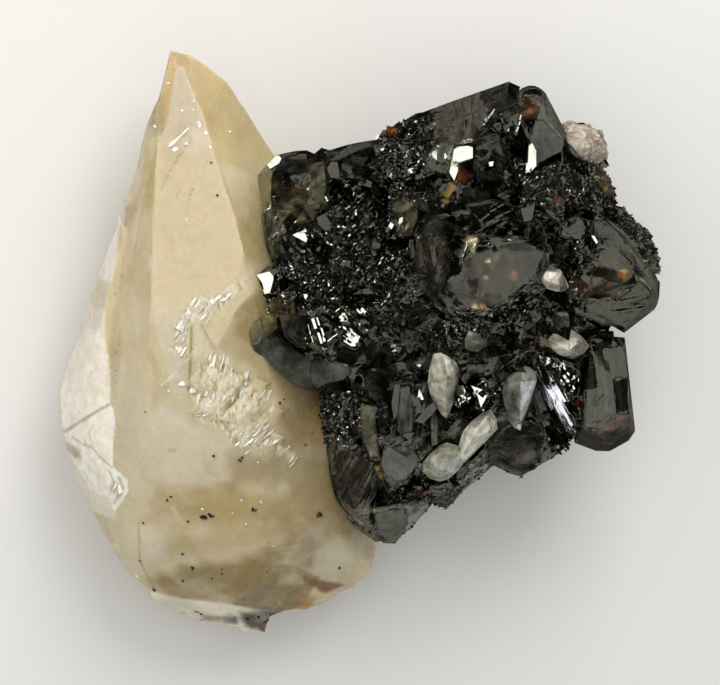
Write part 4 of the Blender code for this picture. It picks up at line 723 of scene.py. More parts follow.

# Zones of colour, the crystals' own brown, olive, gold and red, and some grey ones that are painted
# reflection: outline, colour, strength, softness of the edge, roughness or None
SPHALERITE_ZONES = [
    ([(-8, 19.8), (-7, 21.5), (-4.4, 22.8), (-3.9, 21), (-4.2, 18.5), (-4, 17.3), (-5.9, 15.5),
     (-7.3, 15), (-8.5, 15.2), (-9.8, 14), (-10.2, 10.7), (-11.2, 9.7), (-12.6, 12.2), (-12.6, 15.8),
     (-10.5, 17.5)], (84, 75, 44), 0.85, 0.6, 0.35),
    ([(-12.9, 20.6), (-12.3, 16.3), (-11, 17.2), (-10, 19.8), (-10.1, 20.8)], (92, 86, 62), 0.8, 0.25,
     0.2),
    ([(-13.2, 5.4), (-8, 5), (-7.8, 3.5), (-9, 2.8), (-11, 1.2), (-13.6, 1.2)], (84, 72, 44), 0.85, 0.4,
     0.3),
    ([(-13.8, 1.4), (-12.9, 2.8), (-11.2, 3.6), (-10, 3.2), (-10.2, 1.6), (-11.3, 0.9), (-12.6, 0.2),
     (-13.6, -0.4)], (112, 98, 56), 0.85, 0.2, 0.25),
    # Painted reflection: the grey that this glossy face shows from the room
    ([(-13.4, -0.4), (-12.6, 0.4), (-11.6, 0.9), (-9.9, 0.6), (-7.2, -1.5), (-5.5, -2.1), (-2, -2.7),
     (-1, -3), (-1.2, -4.4), (-4, -5.6), (-7, -5.8), (-9.8, -3.9), (-12.4, -1.6)], (60, 64, 55), 0.85,
     0.2, 0.3),
    ([(-12.4, -0.2), (-11.6, 0.9), (-10.6, 0.7), (-10, 0), (-11, -0.8)], (22, 21, 16), 0.9, 0.3, 0.2),
    ([(-9.9, 3.2), (-8.4, 3.6), (-6.4, 3.4), (-5.6, 0), (-6.4, -1.4), (-7.8, -0.9), (-9.4, 0.9)],
     (9, 9, 7), 0.95, 0.15, 0.06),
    # Painted reflection: a grey band on the same face
    ([(-4.4, -2.2), (-2, -2.6), (-1.2, -3.4), (-1.6, -4.4), (-3, -4.4)], (74, 80, 74), 0.8, 0.2, 0.3),
    ([(-12, 22.6), (-10, 23.4), (-7.6, 23.2), (-6.4, 21), (-8.6, 18.6), (-10, 17.4), (-11.2, 16.2),
     (-11, 19.4)], (9, 9, 8), 0.95, 0.4, 0.08),
    ([(4.2, 17.4), (5.5, 18), (7.3, 17.2), (7.3, 15.5), (6.4, 13.3), (5, 13.2)], (92, 80, 48), 0.9, 0.3,
     0.3),
    ([(9.1, 24.2), (10.5, 25), (11.9, 24.7), (11.6, 22.5), (10.9, 21), (9, 21.5), (8.2, 22.6)],
     (62, 60, 48), 0.85, 0.3, 0.35),
    ([(6, 18), (9, 18.6), (10.6, 16.4), (10.2, 12.6), (7.4, 10.4), (6.2, 13.4)], (60, 58, 46), 0.7, 0.6,
     None),
    ([(10.2, 29.4), (12.5, 30.6), (15.8, 31.2), (16.8, 28.8), (15, 27), (14.4, 24.9), (12.8, 24.7),
     (10.3, 25), (9.2, 26.8)], (66, 58, 44), 0.9, 0.5, 0.35),
    ([(20, 30.5), (23.2, 30.6), (23.4, 28.2), (20.2, 28)], (84, 62, 40), 0.8, 0.4, 0.3),
    # Painted reflection: a bluish grey face
    (CORNER_FACE, (56, 62, 60), 0.8, 0.15, 0.3),
    # Painted reflection: grey laid over the face's own reflection to lighten it
    ([(23.1, 31.2), (24, 31), (25.6, 27.6), (26.4, 26), (25.8, 25.1), (23, 28)], (84, 90, 78), 0.8, 0.2,
     0.3),
    (BLOCK_TOP, (50, 47, 42), 0.8, 0.3, 0.4),
    ([(11.4, 7.8), (12.9, 8.3), (12.8, 9.6), (14.6, 11), (14.8, 8), (14, 5), (12.4, 5.6), (11.3, 6.6)],
     (46, 38, 32), 0.8, 0.5, 0.4),
    ([(6.8, 13), (10.4, 13), (11, 9), (9.4, 5), (6.8, 9)], (54, 48, 38), 0.7, 0.6, 0.3),
    ([(30.6, 15.7), (31.6, 15.2), (33.9, 13.2), (35.5, 10.7), (37.2, 7.9), (37.5, 5.4), (36.4, 6.2),
     (35.4, 8.2), (33.7, 11.4), (32.5, 13.3)], (54, 60, 50), 0.85, 0.2, 0.2),
    ([(27.4, 9.2), (29.6, 11.4), (32.1, 11.6), (33.9, 10), (34.4, 8.5), (33, 7.2), (30.8, 6.4),
     (28.4, 6.6)], (40, 36, 30), 0.85, 0.2, 0.15),
    ([(26.1, 8.4), (28.6, 7.6), (31.4, 6.8), (32.8, 5.9), (30.6, 5.5), (27.6, 5.8), (26, 6.6)],
     (66, 38, 26), 0.85, 0.3, 0.2),
    ([(28.2, -1), (34.2, -1), (34.8, -10), (28, -10.8)], (40, 42, 34), 0.8, 0.25, None),
    ([(27.8, -2.2), (28.6, -0.6), (29.3, -1.4), (29.8, -5.7), (28, -6.1)], (5, 5, 4), 1, 0.1, 0.06),
    ([(31.6, -4.7), (32.2, -4.6), (32.4, -8.4), (32, -8.7)], (8, 8, 8), 0.9, 0.1, None),
    ([(27, -10.6), (30.4, -10.2), (33.8, -9), (35.4, -10.2), (34.8, -13.2), (31, -14.6), (27, -13)],
     (50, 46, 37), 0.9, 0.25, 0.3),
    ([(28.6, -10.8), (30.6, -10.5), (32.4, -9.4), (33.8, -10), (33.4, -11.6), (30.8, -12),
     (28.8, -11.8)], (58, 40, 30), 0.6, 0.5, None),
    ([(0.3, -7.5), (1.9, -8), (2, -10.5), (2.3, -14), (1.4, -14.2), (0.4, -11)], (96, 90, 70), 0.85,
     0.2, 0.3),
    # Painted reflection: a grey face
    (FOOT_FACE, (66, 72, 72), 0.75, 0.15, 0.35),
    (LOWER_FACE, (44, 40, 31), 0.85, 0.2, 0.12),
    ([(8.8, -18.2), (11.4, -17.4), (12.7, -18.6), (11.2, -20.8), (9.2, -19.8)], (50, 48, 66), 0.9, 0.2,
     0.15),
    ([(-1.2, -21), (1.2, -19.6), (1.8, -23), (1, -24.4), (-0.6, -23.4)], (62, 54, 44), 0.8, 0.3, 0.35),
    ([(2, -20.6), (5.6, -20.4), (6.2, -22.4), (5, -25), (2, -25.4)], (74, 75, 72), 0.85, 0.3, 0.35),
    ([(5.4, -20), (9.6, -19.4), (9.4, -20.8), (6.4, -24)], (34, 34, 30), 0.7, 0.4, 0.25),
    ([(20, 15.4), (20.2, 21), (28.8, 22.6), (31.4, 20), (32.4, 17.4), (28.8, 16.4)], (44, 40, 32), 0.5,
     1, None),
    ([(30.2, 22.2), (31.4, 20.6), (32.2, 18.4), (31.2, 18.2), (29.6, 20.4)], (96, 74, 46), 0.7, 0.3,
     0.4),
    ([(33.2, 16.4), (36.4, 13.4), (37.9, 9), (36.6, 9), (34.6, 12.6), (32.6, 15.2)], (60, 60, 50), 0.6,
     0.4, 0.4),
    ([(3, 26), (4.6, 27.3), (5, 26.6), (3.6, 25.6)], (110, 70, 30), 0.7, 0.3, None),
    ([(16, -10), (23.5, -10.5), (23, -14.5), (20.4, -16.8), (16.6, -15.2)], (36, 28, 20), 0.8, 0.8,
     0.2),
    ([(23.6, 3.3), (27.3, 3.3), (27.2, 1.8), (24, 1.6)], (52, 47, 38), 0.7, 0.3, None),
    ([(15.4, 31.4), (17.2, 32.2), (20.2, 31.4), (20.4, 29), (18.4, 27.8), (16, 29)], (24, 19, 12), 0.9,
     0.5, 0.3),
    ([(4.8, -5.6), (6.4, -5.2), (7.2, -7.6), (6.8, -11.2), (5.2, -11.6)], (42, 38, 44), 0.7, 0.2, 0.2),
    ([(8.6, -9.2), (9.8, -9), (9.8, -13), (8.8, -13)], (38, 28, 24), 0.7, 0.3, 0.2),
]

# Lines in the crystals' colour: points, width, colour
SPHALERITE_LINES = [
    ([(27.4, 8.8), (30, 8.7), (32.6, 7.6)], 0.3, (20, 16, 12)),
    ([(28.6, 11), (31, 10.4), (33, 9.2)], 0.3, (56, 46, 38)),
    ([(27, 7.4), (29.6, 7.7), (32.4, 8.4)], 0.25, (52, 42, 34)),
    ([(31, 4.2), (33.4, 4.6), (36.2, 5)], 0.25, (20, 20, 16)),
    ([(30.6, 5.2), (33.2, 5.5), (35.8, 6.2)], 0.22, (20, 20, 16)),
    ([(29.9, -1.6), (30.6, -4.4), (30.9, -8.6)], 0.2, (64, 66, 55)),
    ([(30.8, -3), (31.3, -5.6), (31.4, -9)], 0.2, (30, 28, 22)),
    ([(28.9, -6.4), (29.3, -8.4), (29, -10.2)], 0.2, (40, 36, 28)),
    ([(17.4, 11.4), (16.6, 9.4), (15.8, 7.6), (15.4, 5.4)], 0.3, (74, 60, 54)),
    ([(15.9, 10.8), (15.6, 9.6), (16.2, 8.4)], 0.3, (34, 30, 24)),
]

GOLD = (184, 138, 56)
PALE_GOLD = (190, 176, 118)
ORANGE = (146, 74, 28)
RED = (88, 22, 20)

# Coloured spots: x, y, radius, colour
SPHALERITE_SPOTS = [
    (14.1, 12.6, 0.75, PALE_GOLD), (14.2, 11.6, 0.45, PALE_GOLD), (16.1, 10.1, 0.35, PALE_GOLD),
    (14.4, 4.4, 0.55, PALE_GOLD), (15.4, 4.5, 0.6, GOLD), (19.3, 8.4, 0.8, (120, 84, 62)),
    (15.7, 8.2, 0.35, (170, 150, 110)), (33, 8.6, 0.85, GOLD), (32.7, 8.5, 0.45, ORANGE),
    (31.3, 7.2, 0.45, RED), (30.5, 5.8, 0.4, RED), (24.8, 17.7, 0.5, RED),
    (30.5, 21.5, 0.45, (130, 66, 40)), (31.2, 18.8, 0.6, (150, 130, 50)),
    (13.9, 21.9, 0.8, (110, 52, 26)), (13.2, 21.1, 1, (158, 92, 34)), (13, 20.2, 0.8, (96, 46, 22)),
    (12.2, 20, 0.7, (150, 84, 36)), (11.6, 19.4, 0.7, (178, 140, 62)),
    (11.1, 18.5, 0.6, (190, 164, 92)), (10.8, 17.6, 0.5, (204, 198, 150)), (13.7, 21.7, 0.35, GOLD),
    (13, 20.5, 0.35, PALE_GOLD), (13.9, 20.9, 0.3, (40, 20, 12)), (12.9, 21.7, 0.3, (60, 28, 14)),
    (20.3, 29.8, 0.4, (120, 110, 50)), (21.4, 28.9, 0.6, (120, 70, 40)),
    (32.6, -9.6, 0.6, (132, 24, 24)), (27.4, -7.5, 0.7, (120, 16, 20)),
    (31.2, -10.7, 0.5, (122, 44, 32)), (29.4, -11, 0.5, (44, 24, 18)),
    (33.2, -10.9, 0.45, (116, 46, 34)), (30.2, -11.5, 0.5, (112, 52, 36)),
    (32, -11.3, 0.5, (30, 18, 14)), (33, -9.4, 0.5, (140, 26, 26)), (30.6, -12.2, 0.35, (42, 26, 20)),
    (28.9, -11.9, 0.4, (60, 34, 26)), (29.9, -10.6, 0.35, (38, 24, 18)),
    (31.8, -10.2, 0.35, (46, 26, 20)), (33.6, -11.8, 0.35, (50, 30, 22)),
    (31.3, -12, 0.3, (80, 36, 28)), (27.6, -6.4, 0.5, (80, 12, 16)), (21, -14.5, 0.6, (70, 22, 18)),
    (2.2, -15.6, 0.45, GOLD), (2.9, -16.5, 0.5, GOLD), (3.5, -17, 0.35, ORANGE),
    (7.7, -18.4, 0.55, ORANGE), (-8.4, 19, 0.5, RED), (23, -0.2, 0.5, (130, 84, 30)),
    (4.2, 26.5, 0.5, (150, 90, 40)), (-1.2, 3.9, 0.4, (110, 96, 40)), (1.8, -21, 0.4, PALE_GOLD),
    (13.6, 20.9, 0.25, PALE_GOLD), (12.9, 21.4, 0.25, GOLD), (13.3, 20.3, 0.3, (216, 180, 90)),
    (12.6, 20.6, 0.3, GOLD), (13.8, 21.6, 0.2, (60, 28, 14)), (12.4, 21.6, 0.35, (200, 190, 170)),
]


def sphalerite_material(name, fine_relief=0.3, tint_of_shine=(1.0, 1.0, 0.86, 1.0)):
    """Nearly black, with the shine of a gem, tilted face by face and towards its aim."""
    material, tree, shader = new_material(name)
    place = place_of(tree)
    tint = attribute(tree, "tint", "Color")
    mottle = ramp(tree, noise_of(tree, place, 1100, 4, 0.6, 0.4), 0.35, 0.7, 0.55, 1.35)
    broad = ramp(tree, noise_of(tree, place, 260, 3, 0.6, 0.8), 0.36, 0.64, 0.6, 1.3)
    mottle = combine(tree, "MULTIPLY", mottle, broad)
    scuff = ramp(tree, noise_of(tree, place, 2400, 4, 0.65), 0.35, 0.75, 0.0, 0.1)
    feed(tree, shader, Base_Color=vector_math(tree, "SCALE", tint, mottle),
         Roughness=combine(tree, "ADD", attribute(tree, "dullness"), scuff),
         IOR=SPHALERITE_IOR, Specular_Tint=tint_of_shine)
    weave = attribute(tree, "weave", "Vector")
    unevenness = attribute(tree, "unevenness")
    own = add_node(tree, "ShaderNodeNewGeometry").outputs["Normal"]
    kept = combine(tree, "SUBTRACT", 1.0, attribute(tree, "aim_share"))
    aimed = vector_math(tree, "ADD", vector_math(tree, "SCALE", own, kept),
                        attribute(tree, "aim", "Vector"))
    wave = add_node(tree, "ShaderNodeTexNoise", Vector=place, Scale=240, Detail=2)
    wave = vector_math(tree, "SUBTRACT", wave.outputs["Color"], (0.5, 0.5, 0.5))
    aimed = vector_math(tree, "ADD", aimed, vector_math(tree, "SCALE", wave, 0.3))
    fine = combine(tree, "MULTIPLY", unevenness, attribute(tree, "fineness"))
    normal = small_faces(tree, weave, [(3.2, unevenness), (1.4, unevenness), (0.4, fine)], aimed)
    relief = combine(tree, "ADD", noise_of(tree, place, 420, 3, 0.5),
                     combine(tree, "MULTIPLY", noise_of(tree, place, 2600, 3, 0.6), 0.25))
    bump(tree, shader, relief, fine_relief, 0.2 * MM, normal)
    return material


# Clean crystal faces: outline, how uneven they are
CLEAN_FACES = [
    ([(-13, -0.2), (-11, 0.9), (-9.9, 0.6), (-7.2, -1.5), (-5.5, -2.1), (-2, -2.7), (-1.2, -3),
     (-1.5, -4.4), (-4, -5.4), (-7, -5.4), (-12.3, -1.4)], 0.1),
    ([(-11.4, 2.6), (-7.6, 3.6), (-6.2, 3.4), (-5, -1.2), (-7.2, -1.5), (-9.9, 0.6)], 0.05),
    (BLOCK_TOP, 0.07),
    ([(26, 9.4), (29.4, 13.2), (31, 15), (35, 11), (37.4, 7), (36, 2.6), (30, 1.6), (26, 4.6)], 0.12),
    ([(22.2, 27.8), (23.2, 31.2), (26.4, 26), (25.8, 25), (25.3, 23.9), (22.2, 22.2), (21.6, 24.6)],
     0.06),
    (FOOT_FACE, 0.08),
    ([(28.4, 0.2), (34.2, -0.6), (34.6, -12.9), (28.4, -13.4)], 0.03),
    ([(-12.8, 23.6), (-6.4, 24.6), (-8.6, 20.4), (-12.8, 16.2)], 0.12),
    ([(14.4, 24.8), (14.4, 20.4), (18.2, 20.4), (18.2, 25.4)], 0.14),
    ([(2, -20.8), (9.4, -19.6), (9.4, -20.8), (6, -24.6), (2, -25.4)], 0.1),
    ([(8.6, -17.6), (11.4, -17.2), (12.9, -18.6), (11.2, -21), (8.8, -20)], 0.06),
]

# Striated parts: outline, the way that the lines run in degrees from x, how far they stretch,
# how narrow they are
STRIATED = [
    ([(9.4, 25), (9.8, 30.4), (16, 31.6), (17, 28.8), (14.6, 24.9)], 72, 6, 1),
    ([(21.8, -2.8), (24.6, -2.6), (28.2, -9.6), (26.2, -12), (24.2, -9)], -66, 8, 2.2),
    ([(-4, -12.4), (2.4, -12.4), (2.2, -22.6), (-3, -19)], 62, 5, 4.5),
    ([(-6.6, 3.8), (-4.8, 3.6), (-3.6, -0.8), (-5.2, -1.4), (-7, 0.6)], -62, 10, 2.2),
    ([(6.4, 13.4), (10.8, 13.2), (11.2, 9), (9.4, 5), (6.4, 9)], 78, 5, 1.4),
    ([(12, 17.6), (22, 17.4), (20.4, 13), (12, 13.4)], 38, 2.5, 0.9),
    ([(27.6, 6.2), (32.6, 6), (36.6, 6.6), (36, 3), (28, 3.4)], -4, 6, 1.6),
    ([(17.8, 4.4), (22.8, 8.4), (21.8, 9.4), (16.6, 5.4)], 42, 9, 2.2),
    ([(-6, -5), (0.4, -5.8), (0.6, -12.6), (-5.4, -12.6)], 70, 3, 1.6),
    ([(28.4, -0.2), (34, -0.8), (34, -9.8), (28.6, -9.4)], 86, 6, 2.2),
    ([(4, -5), (8.4, -5), (8.2, -11.6), (4.2, -11.8)], 80, 5, 1.4),
]


# The rise per mm of a face that shows the darkest part of the room
DARK_LEAN = (-0.2, 0.27)

# Parts that show no light: outline, strength
DARK_PATCHES = [
    ([(-10.4, 14.6), (-8.8, 14.4), (-7.6, 12.4), (-8.2, 10.2), (-10.2, 10.4)], 0.9),
    ([(-0.4, -0.3), (3.9, 0.2), (4.4, -3.2), (0.2, -3.8)], 0.95),
    ([(15.6, 2.6), (18.9, 2.6), (19.2, -1.6), (15.8, -1.6)], 0.9),
    ([(4.4, 8.4), (9.6, 8.8), (11.4, 4.6), (10.8, 0.4), (6, -0.6), (4.4, 3)], 0.8),
    ([(14.3, 26.6), (16.4, 26.8), (18.3, 25.6), (18.4, 19.6), (14.2, 19.6)], 0.95),
    ([(14.6, 21.6), (24, 21.4), (23, 17.6), (15, 17.6)], 0.6),
    ([(0.8, -5.6), (4.2, -5.8), (4.4, -9.4), (3.2, -11.4), (1, -11)], 0.92),
    ([(-9.4, 8.8), (-6.6, 9), (-6.4, 5.6), (-9.2, 5.8)], 0.5),
    ([(-1.6, 10.6), (3, 11.2), (3.4, 8.4), (-1, 8)], 0.5),
    ([(0.4, 3.6), (4.4, 4.2), (4.6, 0.6), (1.2, 0.4)], 0.7),
    ([(20.4, 6.6), (24, 7.6), (24.4, 3.6), (21, 2.6)], 0.6),
    ([(7.4, -0.4), (10.4, 0.6), (12, -1.6), (9, -3.4), (6.8, -2.4)], 0.8),
    ([(12.6, -0.6), (16, 0.2), (17.6, -3.4), (16.6, -5.2), (13.4, -3.6)], 0.7),
    ([(-3.2, -13.2), (1.8, -12.8), (2, -15), (-1.6, -14.6)], 0.6),
    ([(26.4, -0.6), (29.2, -0.4), (32.6, 0.2), (33, 1.6), (27.4, 2)], 0.8),
    ([(2.2, -19.2), (9, -17.6), (9.2, -19.6), (2.4, -21)], 0.7),
    ([(9, -12.6), (13.6, -15.2), (15.8, -12.8), (17.4, -10.2), (20, -12), (15, -17.4), (11, -17.6)],
     0.6),
    ([(6.8, -8.6), (10.4, -8.8), (10.4, -13.6), (6.6, -13.2)], 0.85),
    ([(1.8, -16), (5.8, -17.2), (5.4, -20.2), (2, -19.6)], 0.9),
    ([(-4.9, -5), (-2.6, -5.6), (-2.6, -11.6), (-4.6, -12.6)], 0.85),
    ([(-2.8, -6), (0, -6.4), (0.2, -11.8), (-2.8, -12)], 0.7),
    ([(-2.4, 20), (2.6, 19.6), (3.4, 16.2), (-1.6, 16)], 0.6),
    ([(8, 17), (13, 17.6), (12.6, 14.4), (8.4, 13.6)], 0.6),
]

# Crystal faces that shine as if they leaned one way: outline, rise per mm along x and y,
# strength, how uneven they are
LEANING_PARTS = [
    ([(28.6, -0.9), (29.7, -1.2), (31.8, -4.5), (32.1, -9.6), (30.5, -10.6), (28, -10.9), (28, -5.9),
     (29.7, -5.6)], (0.11, -0.11), 0.92, 0.05),
    ([(29.6, -2.6), (31, -3.4), (31.7, -4.6), (31.8, -9.9), (30.3, -10.4), (29.7, -6)], (0.08, -0.06),
     0.92, 0.04),
    ([(27.8, -2.4), (28.6, -0.6), (29.2, -1.4), (29.8, -5.6), (28, -6)], DARK_LEAN, 0.97, 0.03),
    ([(30, -0.5), (33.8, -0.3), (33.9, -4.3), (31.8, -4.4)], (0.07, 0.05), 0.9, 0.08),
    ([(31.7, -4.5), (33.7, -4.3), (33.7, -8.6), (32.1, -8.7)], (-0.24, -0.16), 0.95, 0.04),
    ([(33.7, -2.7), (34.2, -2.7), (34.9, -10.4), (33.9, -9)], (0.08, 0), 0.9, 0.03),
    ([(27.2, -10.9), (30.4, -10.6), (32.1, -8.8), (33.9, -8.9), (35.2, -10), (34.8, -13), (31, -14.4),
     (27, -12.8)], (0.12, 0.09), 0.88, 0.08),
    ([(26.6, -5.6), (27.8, -5.4), (28.1, -8), (27.6, -9.9), (26.9, -9.6)], DARK_LEAN, 0.9, 0.1),
    ([(29.2, 15.5), (30.6, 15.6), (32.7, 13.3), (33.9, 11.3), (35.8, 7.9), (34.4, 8.4), (33.9, 10.1),
     (32.1, 11.8), (29.6, 11.6), (28.4, 10.8), (28.9, 13)], (0.1, 0.175), 0.92, 0.06),
    ([(30.6, 15.7), (31.6, 15.2), (33.9, 13.2), (35.5, 10.7), (37.2, 7.9), (37.6, 5.4), (36.9, 6),
     (35.8, 7.9), (33.9, 11.3), (32.7, 13.3)], (0.06, 0.04), 0.92, 0.04),
    ([(27.2, 9.1), (29.6, 11.6), (32.1, 11.8), (33.9, 10.1), (34.4, 8.5), (33, 7.4), (30.8, 6.4),
     (28.4, 6.6)], (0.12, 0.125), 0.9, 0.06),
    ([(27.2, 9.9), (30.5, 9.5), (33.4, 8.5), (32.4, 7.6), (29.6, 8.1), (27.3, 8.6)], DARK_LEAN, 0.9,
     0.06),
    ([(26.1, 8.2), (28.6, 7.4), (31.4, 6.6), (32.8, 5.8), (30.6, 5.4), (27.6, 5.8), (26, 6.6)],
     DARK_LEAN, 0.8, 0.12),
    ([(26.3, 5.8), (30.5, 5.5), (32.8, 5.8), (35, 7.6), (36.6, 6.4), (37.7, 5.2), (33.9, 1.4),
     (31.1, 2.2), (26.4, 4)], (0.13, -0.128), 0.9, 0.07),
    ([(30.2, 5.35), (33, 5.6), (36.2, 6.2), (36.3, 5.95), (33, 5.25), (30.3, 5)], DARK_LEAN, 0.85,
     0.02),
    ([(30.8, 4.15), (33.4, 4.4), (35.8, 4.75), (35.8, 4.45), (33.4, 4.05), (30.8, 3.8)], DARK_LEAN,
     0.85, 0.02),
    ([(36.9, 8.6), (37.7, 8.2), (38.1, 5.4), (37.5, 4.8), (37.2, 7)], (0, 0.05), 0.8, 0.04),
    ([(11.2, 7.9), (12.9, 8.5), (12.8, 9.8), (13.5, 11), (14.6, 11.2), (14.9, 8), (14.2, 4.8),
     (12.4, 5.4), (11.1, 6.5)], (0, 0.185), 0.85, 0.12),
    ([(13.2, 4.2), (15.3, 4), (16.7, 4.4), (18.2, 5.2), (17.6, 6.4), (15.4, 5.8), (13.8, 5.8)],
     (0, 0.18), 0.8, 0.14),
    ([(16.4, 12.3), (20, 12.9), (22.2, 12.1), (21.6, 11.2), (18.8, 11.6), (16.6, 11.2)], (0, 0.18), 0.8,
     0.14),
    ([(23.1, 31.2), (24, 31), (25.6, 27.6), (26.4, 26), (25.8, 25.1), (23.4, 28)], (0.04, 0.04), 0.9,
     0.04),
    ([(2, -21), (5.8, -20.6), (6.2, -22.4), (5, -25), (2, -25.4)], (0.04, 0), 1, 0.06),
    ([(8.7, -18), (11.4, -17.4), (12.8, -18.6), (11.2, -21), (9, -19.9)], (0.09, 0.1), 0.95, 0.05),
    (LOWER_FACE, (0.02, 0.175), 0.9, 0.13),
    ([(-10.9, 20.4), (-9.9, 23), (-5.4, 23.4), (-4.4, 21.6), (-6, 19.6), (-8.5, 17.7), (-10.9, 16)],
     DARK_LEAN, 1, 0.05),
    ([(-8.4, 20.7), (-6.4, 21.4), (-5.6, 20), (-7.7, 18.9)], (0.12, 0.14), 0.9, 0.12),
    ([(-12.8, 17), (-11.6, 16.8), (-10.4, 14.4), (-10.4, 11), (-11.2, 9.6), (-12.6, 10.4)], (0.1, 0.15),
     0.85, 0.14),
    ([(-10.2, 23.4), (-9.2, 24), (-6.2, 24), (-4.6, 23), (-5.6, 22.6), (-9.6, 22.6)], DARK_LEAN, 0.95,
     0.05),
    ([(-9.6, 23.9), (-9.2, 24.5), (-6, 24.6), (-4.4, 23.6), (-5, 23.4), (-6.4, 24.1)], (0.1, 0.12), 0.5,
     0.05),
    ([(-3.6, 24), (-1.7, 24.8), (1.7, 25.4), (2, 22.5), (0.8, 20.3), (-2, 20), (-3, 21.2)], DARK_LEAN,
     0.93, 0.12),
    ([(-2, 22.2), (-0.9, 22.4), (-0.6, 20.6), (-1.6, 20.4)], (0.12, 0.13), 0.9, 0.1),
    ([(-5.7, 22.6), (-4.2, 22.8), (-3.9, 20), (-4.6, 17.6), (-6.4, 17), (-5.4, 19.6)], (0.12, 0.13),
     0.9, 0.12),
    (CORNER_FACE, (0.12, 0.1), 0.9, 0.05),
    ([(15.6, -9.8), (22.6, -9.6), (23.4, -11), (23, -14.6), (20.4, -17.4), (16.2, -15.8)], DARK_LEAN, 1,
     0.1),
    ([(22.2, -1.9), (24.8, -2), (27.3, -3.6), (27.4, -9.4), (25.6, -7.4), (24.6, -5.6), (23.6, -3.6)],
     (0.27, -0.27), 0.95, 0.3),
    ([(23.3, -10.2), (25, -10.8), (26.9, -11.4), (26.8, -12.9), (25, -14), (23.6, -13.4)],
     (0.31, -0.31), 1, 0.22),
    ([(21.6, -4.6), (22.2, -4.4), (23.2, -8), (23.6, -10.4), (22, -9.6)], DARK_LEAN, 0.95, 0.05),
    ([(11.6, 17.2), (18, 20.4), (22, 18), (20.6, 13.4), (14, 12.4)], DARK_LEAN, 0.78, 0.24),
    ([(6.8, 13), (10.4, 13.2), (11.2, 10), (10.8, 6.6), (8.6, 5), (6.8, 8)], DARK_LEAN, 0.6, 0.22),
    ([(7.4, 15.2), (12.6, 15.2), (13.6, 13.6), (13.2, 11.4), (12.6, 9.8), (12.6, 8.6), (11, 7.8),
     (10.6, 9.4), (7.4, 11.4)], DARK_LEAN, 0.93, 0.13),
    ([(12.6, 29.6), (13.4, 30.2), (13.8, 27), (13, 25.6)], DARK_LEAN, 0.8, 0.1),
    ([(10.4, 29.6), (11, 29.8), (10.6, 26.4), (10, 26.4)], DARK_LEAN, 0.7, 0.1),
    ([(28.9, -10.6), (29.9, -10.4), (30.2, -11.6), (29.2, -11.9)], DARK_LEAN, 0.8, 0.2),
    ([(31, -11.2), (32.2, -11), (32, -12.4), (31.2, -12.6)], DARK_LEAN, 0.7, 0.3),
    ([(0.2, -3.6), (3, -3.2), (4, -5.6), (1, -5.8)], DARK_LEAN, 0.95, 0.08),
    ([(9, 24.6), (9.6, 30.6), (15, 31.6), (16.4, 28.6), (14.2, 25.4)], (0, 0.19), 0.88, 0.13),
    ([(15, 31.6), (17.4, 32.4), (20.2, 31.6), (20.4, 29), (18.4, 27.6), (16, 28.6)], DARK_LEAN, 0.95,
     0.14),
]


def normal_of(lean):
    """The direction square to a face that rises by lean per mm along x and y."""
    return Vector((-lean[0], -lean[1], 1.0)).normalized()


def store_aim(mesh, points, parts, shaded):
    """Store where the surface should seem to face, and how strongly, for faces turned up."""
    normals = np.empty(len(points) * 3)
    mesh.vertex_normals.foreach_get("vector", normals)
    seen = (points[:, 2] > 4) & (normals.reshape(-1, 3)[:, 2] > 0.02)
    total = shaded * seen
    aim = np.array(normal_of(DARK_LEAN)) * total[:, None]
    ragged = waves(points, 1.1, 29) - 0.5
    for outline, lean, strength, amount in parts:
        depth = depth_inside(points, outline) + ragged * min(amount * 8, 2.0)
        share = soft_step(depth, -0.12, 0.12) * seen * strength
        total = total * (1 - share) + share
        aim = aim * (1 - share)[:, None] + np.array(normal_of(lean)) * share[:, None]
    store_number(mesh, "aim_share", total)
    store_vector(mesh, "aim", aim)


def store_sphalerite_looks(piece, unevenness=None, shady=False):
    """Store the colours, the grain and the aims that the material reads.

    A piece with one unevenness of its own keeps its own leans, unless it is shady."""
    points = places_of(piece.data)
    colours, rough = sphalerite_colours(points)
    store_colour(piece.data, "tint", colours)
    store_number(piece.data, "dullness", rough)
    weave = points.copy()
    for outline, angle, stretch, narrow in STRIATED:
        inside = depth_inside(points, outline) > 0
        cos, sin = math.cos(math.radians(angle)), math.sin(math.radians(angle))
        weave[inside, 0] = points[inside] @ np.array([-sin, cos, 0.0]) * narrow
        weave[inside, 1] = points[inside] @ np.array([cos, sin, 0.0]) / stretch
        weave[inside, 2] = points[inside, 2] * 0.3
    store_vector(piece.data, "weave", weave)
    if unevenness is None:
        tilt = np.full(len(points), 0.32)
        for outline, amount in CLEAN_FACES:
            share = soft_step(depth_inside(points, outline), -0.2, 0.2)
            tilt = tilt * (1 - share) + amount * share
        clean = 1 - np.clip((tilt - 0.1) / 0.2, 0, 1)
        for outline, lean, strength, amount in LEANING_PARTS:
            share = soft_step(depth_inside(points, outline), -0.15, 0.15)
            tilt = tilt * (1 - share) + amount * share
    else:
        tilt = np.full(len(points), unevenness)
        clean = 0
    if unevenness is None or shady:
        shaded = soft_step(waves(points, 4.0, 23), 0.51, 0.61) * 0.8
        shaded = np.maximum(shaded, soft_step(waves(points, 1.5, 24), 0.56, 0.62) * 0.7)
        shaded *= 1 - clean
        parts = [(outline, DARK_LEAN, strength, 0.2) for outline, strength in DARK_PATCHES]
        calm = shaded * 0.6
        for outline, strength in DARK_PATCHES:
            share = soft_step(depth_inside(points, outline), -0.3, 0.3) * strength * (1 - clean)
            calm = np.maximum(calm, share * 0.75)
        tilt = tilt * (1 - calm)
        if unevenness is None:
            parts += LEANING_PARTS
        store_aim(piece.data, points, parts, shaded)
    store_number(piece.data, "unevenness", tilt)
    store_number(piece.data, "fineness", 0.45 + 0.45 * slope_cover(points))


